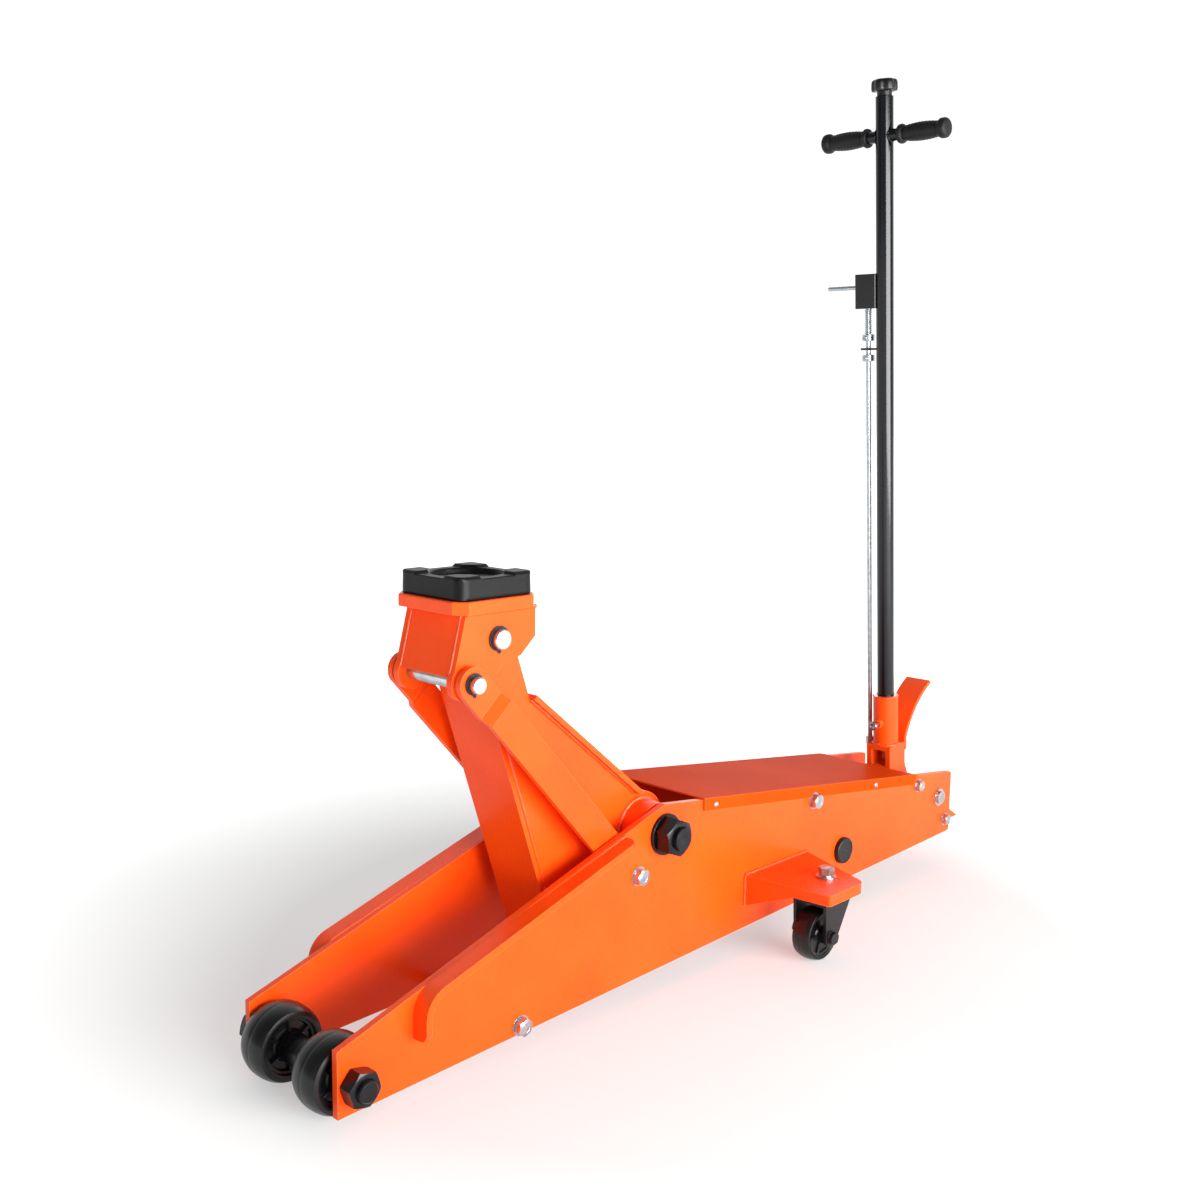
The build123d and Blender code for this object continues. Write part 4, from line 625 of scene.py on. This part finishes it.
# ---------------------------------------------------------------- handle socket and pedal
# A square hollow yoke on the handle's cross pin, with the socket tube and the curved foot
# pedal welded on, and a plated thumb screw that clamps the handle.
dress(orange, "socket_yoke", "socket_tube", "foot_pedal")
dress(ground_steel, "handle_pivot_pin")
lean = math.radians(4.67)
up = Vector((-math.sin(lean), 0, math.cos(lean)))
rear = Vector((math.cos(lean), 0, math.sin(lean)))
root = Vector((0.6722, 0, 0.2450))
socket_welds = bmesh.new()
bead(socket_welds, [root + 0.0262 * (math.cos(a) * rear + math.sin(a) * Vector((0, 1, 0))) + 0.0008 * up
                    for a in (math.tau * i / 70 for i in range(70))], 0.0026, closed=True)
for side in (-1, 1):
    heel = root + 0.0285 * rear + Vector((0, side * 0.0272, 0))
    bead(socket_welds, [heel + s * up for s in (-0.017, -0.002)], 0.0022)
settle("socket_welds", socket_welds, bead_paint, "handle", 60)
screw = bmesh.new()
nose = root + 0.047 * up
lathe(screw, facing(nose - 0.017 * rear, -rear),
      [(0.005, 0), (0.005, 0.0262), (0.0085, 0.0264), (0.009, 0.0272), (0.009, 0.0318), (0.0084, 0.0326),
       (0.0050, 0.0327), (0.0045, 0.0312), (0.0012, 0.0308)], 40)
piece = settle("clamp_thumb_screw", screw, zinc, "handle")
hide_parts("clamp_screw")
socket_rim = bmesh.new()
lathe(socket_rim, facing(root + 0.1000 * up, up),
      [(0.0254, 0), (0.0262, 0.0004), (0.0262, 0.0022), (0.0254, 0.003), (0.0210, 0.0032),
       (0.0171, 0.0030)], 64, caps=False)
settle("socket_tube_rim", socket_rim, bead_paint, "handle")

# ---------------------------------------------------------------- handle tube and T-bar
# Steel tube in gloss black powder coat; the cross stubs are welded on and carry moulded grips
# with a collar, a swelling palm and a flanged end.
powder = finish_of("black_powder_coat", "#090A12", "#06070B", metallic=0.0, roughness=0.16, spread=0.05,
                   patch_mm=50, grain_mm=1.0, bump_mm=0.02, coat=0.1, edge="#1C1D22", edge_mm=0.8,
                   shine=0.3)
grip_rubber = finish_of("soft_grip_rubber", "#0B0B0C", "#070708", metallic=0.0, roughness=0.58,
                        spread=0.06, patch_mm=16, grain_mm=0.8, bump_mm=0.1, edge="#18181A", shine=0.3)
dress(powder, "handle_tube", "t_bar")
low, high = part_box("t_bar_grips")
bar = (low + high) / 2
tee_welds = bmesh.new()
for side in (-1, 1):
    ring = []
    for i in range(48):
        a = math.tau * i / 48
        out = side * (0.0135 + 0.0030 * abs(math.sin(a)))
        ring.append(bar + Vector((0.0118 * math.cos(a), out, 0.0118 * math.sin(a))))
    bead(tee_welds, ring, 0.0018, closed=True)
settle("tee_welds", tee_welds, powder, "handle", 60)
for name, side in (("left", -1), ("right", 1)):
    grip = bmesh.new()
    place = facing(Vector((bar.x, side * 0.0335, bar.z)), (0, side, 0))
    profile = [(0.0116, 0), (0.0155, 0.0), (0.0172, 0.001), (0.018, 0.0035), (0.018, 0.0065),
               (0.0168, 0.0088), (0.0138, 0.0105), (0.0136, 0.014)]
    for k in range(1, 40):
        t = k / 40
        ridge = 0.00035 * math.sin(t * 40 * math.pi / 2)
        profile.append((0.0138 + 0.0032 * math.sin(math.pi * t) ** 0.8 + ridge, 0.014 + 0.069 * t))
    profile += [(0.0145, 0.0842), (0.0172, 0.087), (0.0184, 0.0895), (0.0185, 0.0955), (0.0176, 0.099),
                (0.0150, 0.1015), (0.0100, 0.1024), (0.0004, 0.1025)]
    lathe(grip, place, profile, 72)
    piece = settle(f"moulded_grip_{name}", grip, grip_rubber, "handle", 50)
    if side < 0:
        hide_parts("t_bar_grips")

# ---------------------------------------------------------------- release knob and rod
# A lobed black knob on the handle's top turns the release rod inside the tube.
knob_plastic = finish_of("moulded_knob_plastic", "#0D0D0F", "#08080A", metallic=0.0, roughness=0.38,
                         spread=0.06, patch_mm=12, grain_mm=0.9, bump_mm=0.04, edge="#222225",
                         shine=0.4)
dress(zinc, "release_rod")
knob = bmesh.new()
place = facing(root + 1.2755 * up, up)
lathe(knob, place, [(0.0125, 0), (0.014, 0.0008), (0.014, 0.0085), (0.012, 0.0092)], 48)
rings = []
for share, level in ((0.72, 0.0080), (0.93, 0.0086), (0.99, 0.0104), (1.0, 0.0135), (1.0, 0.0215),
                     (0.985, 0.0250), (0.93, 0.0282), (0.80, 0.0300), (0.62, 0.0304), (0.57, 0.0292),
                     (0.52, 0.0290), (0.02, 0.0290)):
    ring = []
    for i in range(144):
        a = math.tau * i / 144
        lobe = 0.0246 - 0.0030 * (0.5 - 0.5 * math.cos(6 * a)) ** 2.2 * step(share, 0.55, 0.95)
        ring.append(place @ Vector((share * lobe * math.cos(a), share * lobe * math.sin(a), level)))
    rings.append(ring)
ring_skin(knob, rings)
piece = settle("release_knob_moulding", knob, knob_plastic, "release", 50)
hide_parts("release_knob")

# ---------------------------------------------------------------- handle latch
# A black block on the handle guides a plated rod, pushed down by a coil spring over two shaft
# collars, and lifted by the short cross lever.
dress(castor_paint, "latch_block", "latch_guide_tab")
dress(zinc, "latch_rod")
rod_line = root + Vector((0, 0.038, 0))
coil = bmesh.new()
rings = []
turns = 13
for k in range(turns * 20 + 1):
    a = math.tau * k / 20
    share = k / (turns * 20)
    rise = 0.8355 + 0.0475 * (0.5 - 0.5 * math.cos(math.pi * share)) * 0.12 + 0.0475 * share * 0.88
    out = math.cos(a) * rear + math.sin(a) * Vector((0, 1, 0))
    middle = rod_line + rise * up + 0.0066 * out
    rings.append([middle + 0.0009 * (math.cos(b) * out + math.sin(b) * up)
                  for b in (math.tau * i / 8 for i in range(8))])
ring_skin(coil, rings)
piece = settle("latch_coil_spring", coil, zinc, "latch", 60)
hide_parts("latch_spring")
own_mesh(piece)
collars = bmesh.new()
for level in (0.782, 0.8215):
    place = facing(rod_line + level * up, up)
    lathe(collars, place, [(0.0051, 0), (0.0112, 0), (0.012, 0.0008), (0.012, 0.0122), (0.0112, 0.013),
                           (0.0051, 0.013)], 56)
    place = facing(rod_line + (level + 0.0065) * up - 0.0112 * rear, -rear)
    lathe(collars, place, [(0.0032, 0), (0.0032, 0.0034), (0.0028, 0.0040), (0.0017, 0.0040),
                           (0.0015, 0.0022)], 24)
piece = settle("latch_shaft_collars", collars, zinc, "latch")
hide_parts("latch_collars")
low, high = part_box("latch_lever")
lever = bmesh.new()
lathe(lever, facing(Vector(((low.x + high.x) / 2, low.y, (low.z + high.z) / 2)), (0, 1, 0)),
      [(0.0045, 0), (0.0045, high.y - low.y - 0.003), (0.0040, high.y - low.y - 0.0012),
       (0.0028, high.y - low.y - 0.0003), (0.0004, high.y - low.y)], 40)
piece = settle("latch_lever_rod", lever, zinc, "latch")
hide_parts("latch_lever")

# ---------------------------------------------------------------- studio
# A pale floor that glows more the farther it is from the jack, a wide soft light from the
# jack's left, weaker ones from its nose and tail, and a room that is white behind the handle.


def area(name, place, target, size, power):
    """Soft rectangular light aimed at a point."""
    light = bpy.data.lights.new(name, "AREA")
    light.shape = "RECTANGLE"
    light.size, light.size_y = size
    light.energy = power
    lamp = bpy.data.objects.new(name, light)
    lamp.location = place
    lamp.rotation_euler = (Vector(target) - Vector(place)).to_track_quat("-Z", "Y").to_euler()
    bpy.context.scene.collection.objects.link(lamp)


def sheet_of(name, corners, material):
    """A flat staging sheet."""
    mesh = bpy.data.meshes.new(name)
    mesh.from_pydata(corners, [], [tuple(range(len(corners)))])
    mesh.materials.append(material)
    piece = bpy.data.objects.new(name, mesh)
    bpy.context.scene.collection.objects.link(piece)


floor_paint = finish_of("pale_floor", "#BDBDBC", "#B8B8B7", metallic=0.0, roughness=0.8, spread=0.05,
                        patch_mm=900, grain_mm=30, bump_mm=0.01, shine=0.05)
floor_tree = floor_paint.node_tree
# The floor's emission is a painted glow that lights the jack from below; it is weaker near the jack, which
# paints a shadow on the floor round it and leaves the jack's insides in painted shade.
spot = add(floor_tree, "ShaderNodeTexCoord")
away = add(floor_tree, "ShaderNodeVectorMath", {"operation": "LENGTH"}, _0=(spot, "Object"))
floor_glow = add(floor_tree, "ShaderNodeMapRange",
           {"From Min": 0.7, "From Max": 1.9, "To Min": 0.4, "To Max": 1.15}, Value=(away, "Value"))
for part in floor_tree.nodes:
    if part.type == "BSDF_PRINCIPLED":
        part.inputs["Emission Color"].default_value = (1, 1, 1, 1)
        floor_tree.links.new(floor_glow.outputs["Result"], part.inputs["Emission Strength"])
floor_reach = 30
floor_level = -0.0005
sheet_of("studio_floor", [(x * floor_reach, y * floor_reach, floor_level)
                          for x, y in ((-1, -1), (1, -1), (1, 1), (-1, 1))], floor_paint)
area("left_softbox", (-0.2, -3.6, 1.0), (0, 0, 0.3), (4.0, 1.7), 370)
area("nose_softbox", (-4.2, -0.6, 1.6), (-0.3, 0, 0.4), (2.4, 2.0), 3)
area("tail_strip", (3.4, 2.2, 1.8), (0.5, 0, 0.6), (0.8, 2.4), 14)
world = bpy.data.worlds.new("white_studio")
bpy.context.scene.world = world
world.use_nodes = True
sky = world.node_tree
ray = add(sky, "ShaderNodeTexCoord")
toward = add(sky, "ShaderNodeVectorMath", {"operation": "DOT_PRODUCT", 1: (0.76, 0.61, -0.23)},
             _0=(ray, "Generated"))
glow = add(sky, "ShaderNodeMapRange", {"From Min": -0.25, "From Max": 0.6, "To Min": 0.2, "To Max": 1.08},
           Value=(toward, "Value"))
sky.links.new(glow.outputs["Result"], sky.nodes["Background"].inputs["Strength"])
sky.nodes["Background"].inputs["Color"].default_value = (1, 1, 1, 1)
bpy.context.scene.view_settings.view_transform = "Standard"

# ---------------------------------------------------------------- camera
# Standing off the jack's nose on its left side, a little above the saddle.
camera = bpy.data.cameras.new("camera")
camera.lens = 41.03
camera.sensor_width = 36.0
camera.clip_start = 0.05
camera.clip_end = 200
viewer = bpy.data.objects.new("camera", camera)
bpy.context.scene.collection.objects.link(viewer)
tilt = Matrix.Rotation(math.radians(-1.017), 4, "Y")
yaw = Matrix.Rotation(math.radians(-45.8), 4, "Z")
pitch = Matrix.Rotation(math.radians(90 - 9.16), 4, "X")
viewer.matrix_world = Matrix.Translation((-1.7337, -1.4985, 0.9471)) @ tilt @ yaw @ pitch
bpy.context.scene.camera = viewer
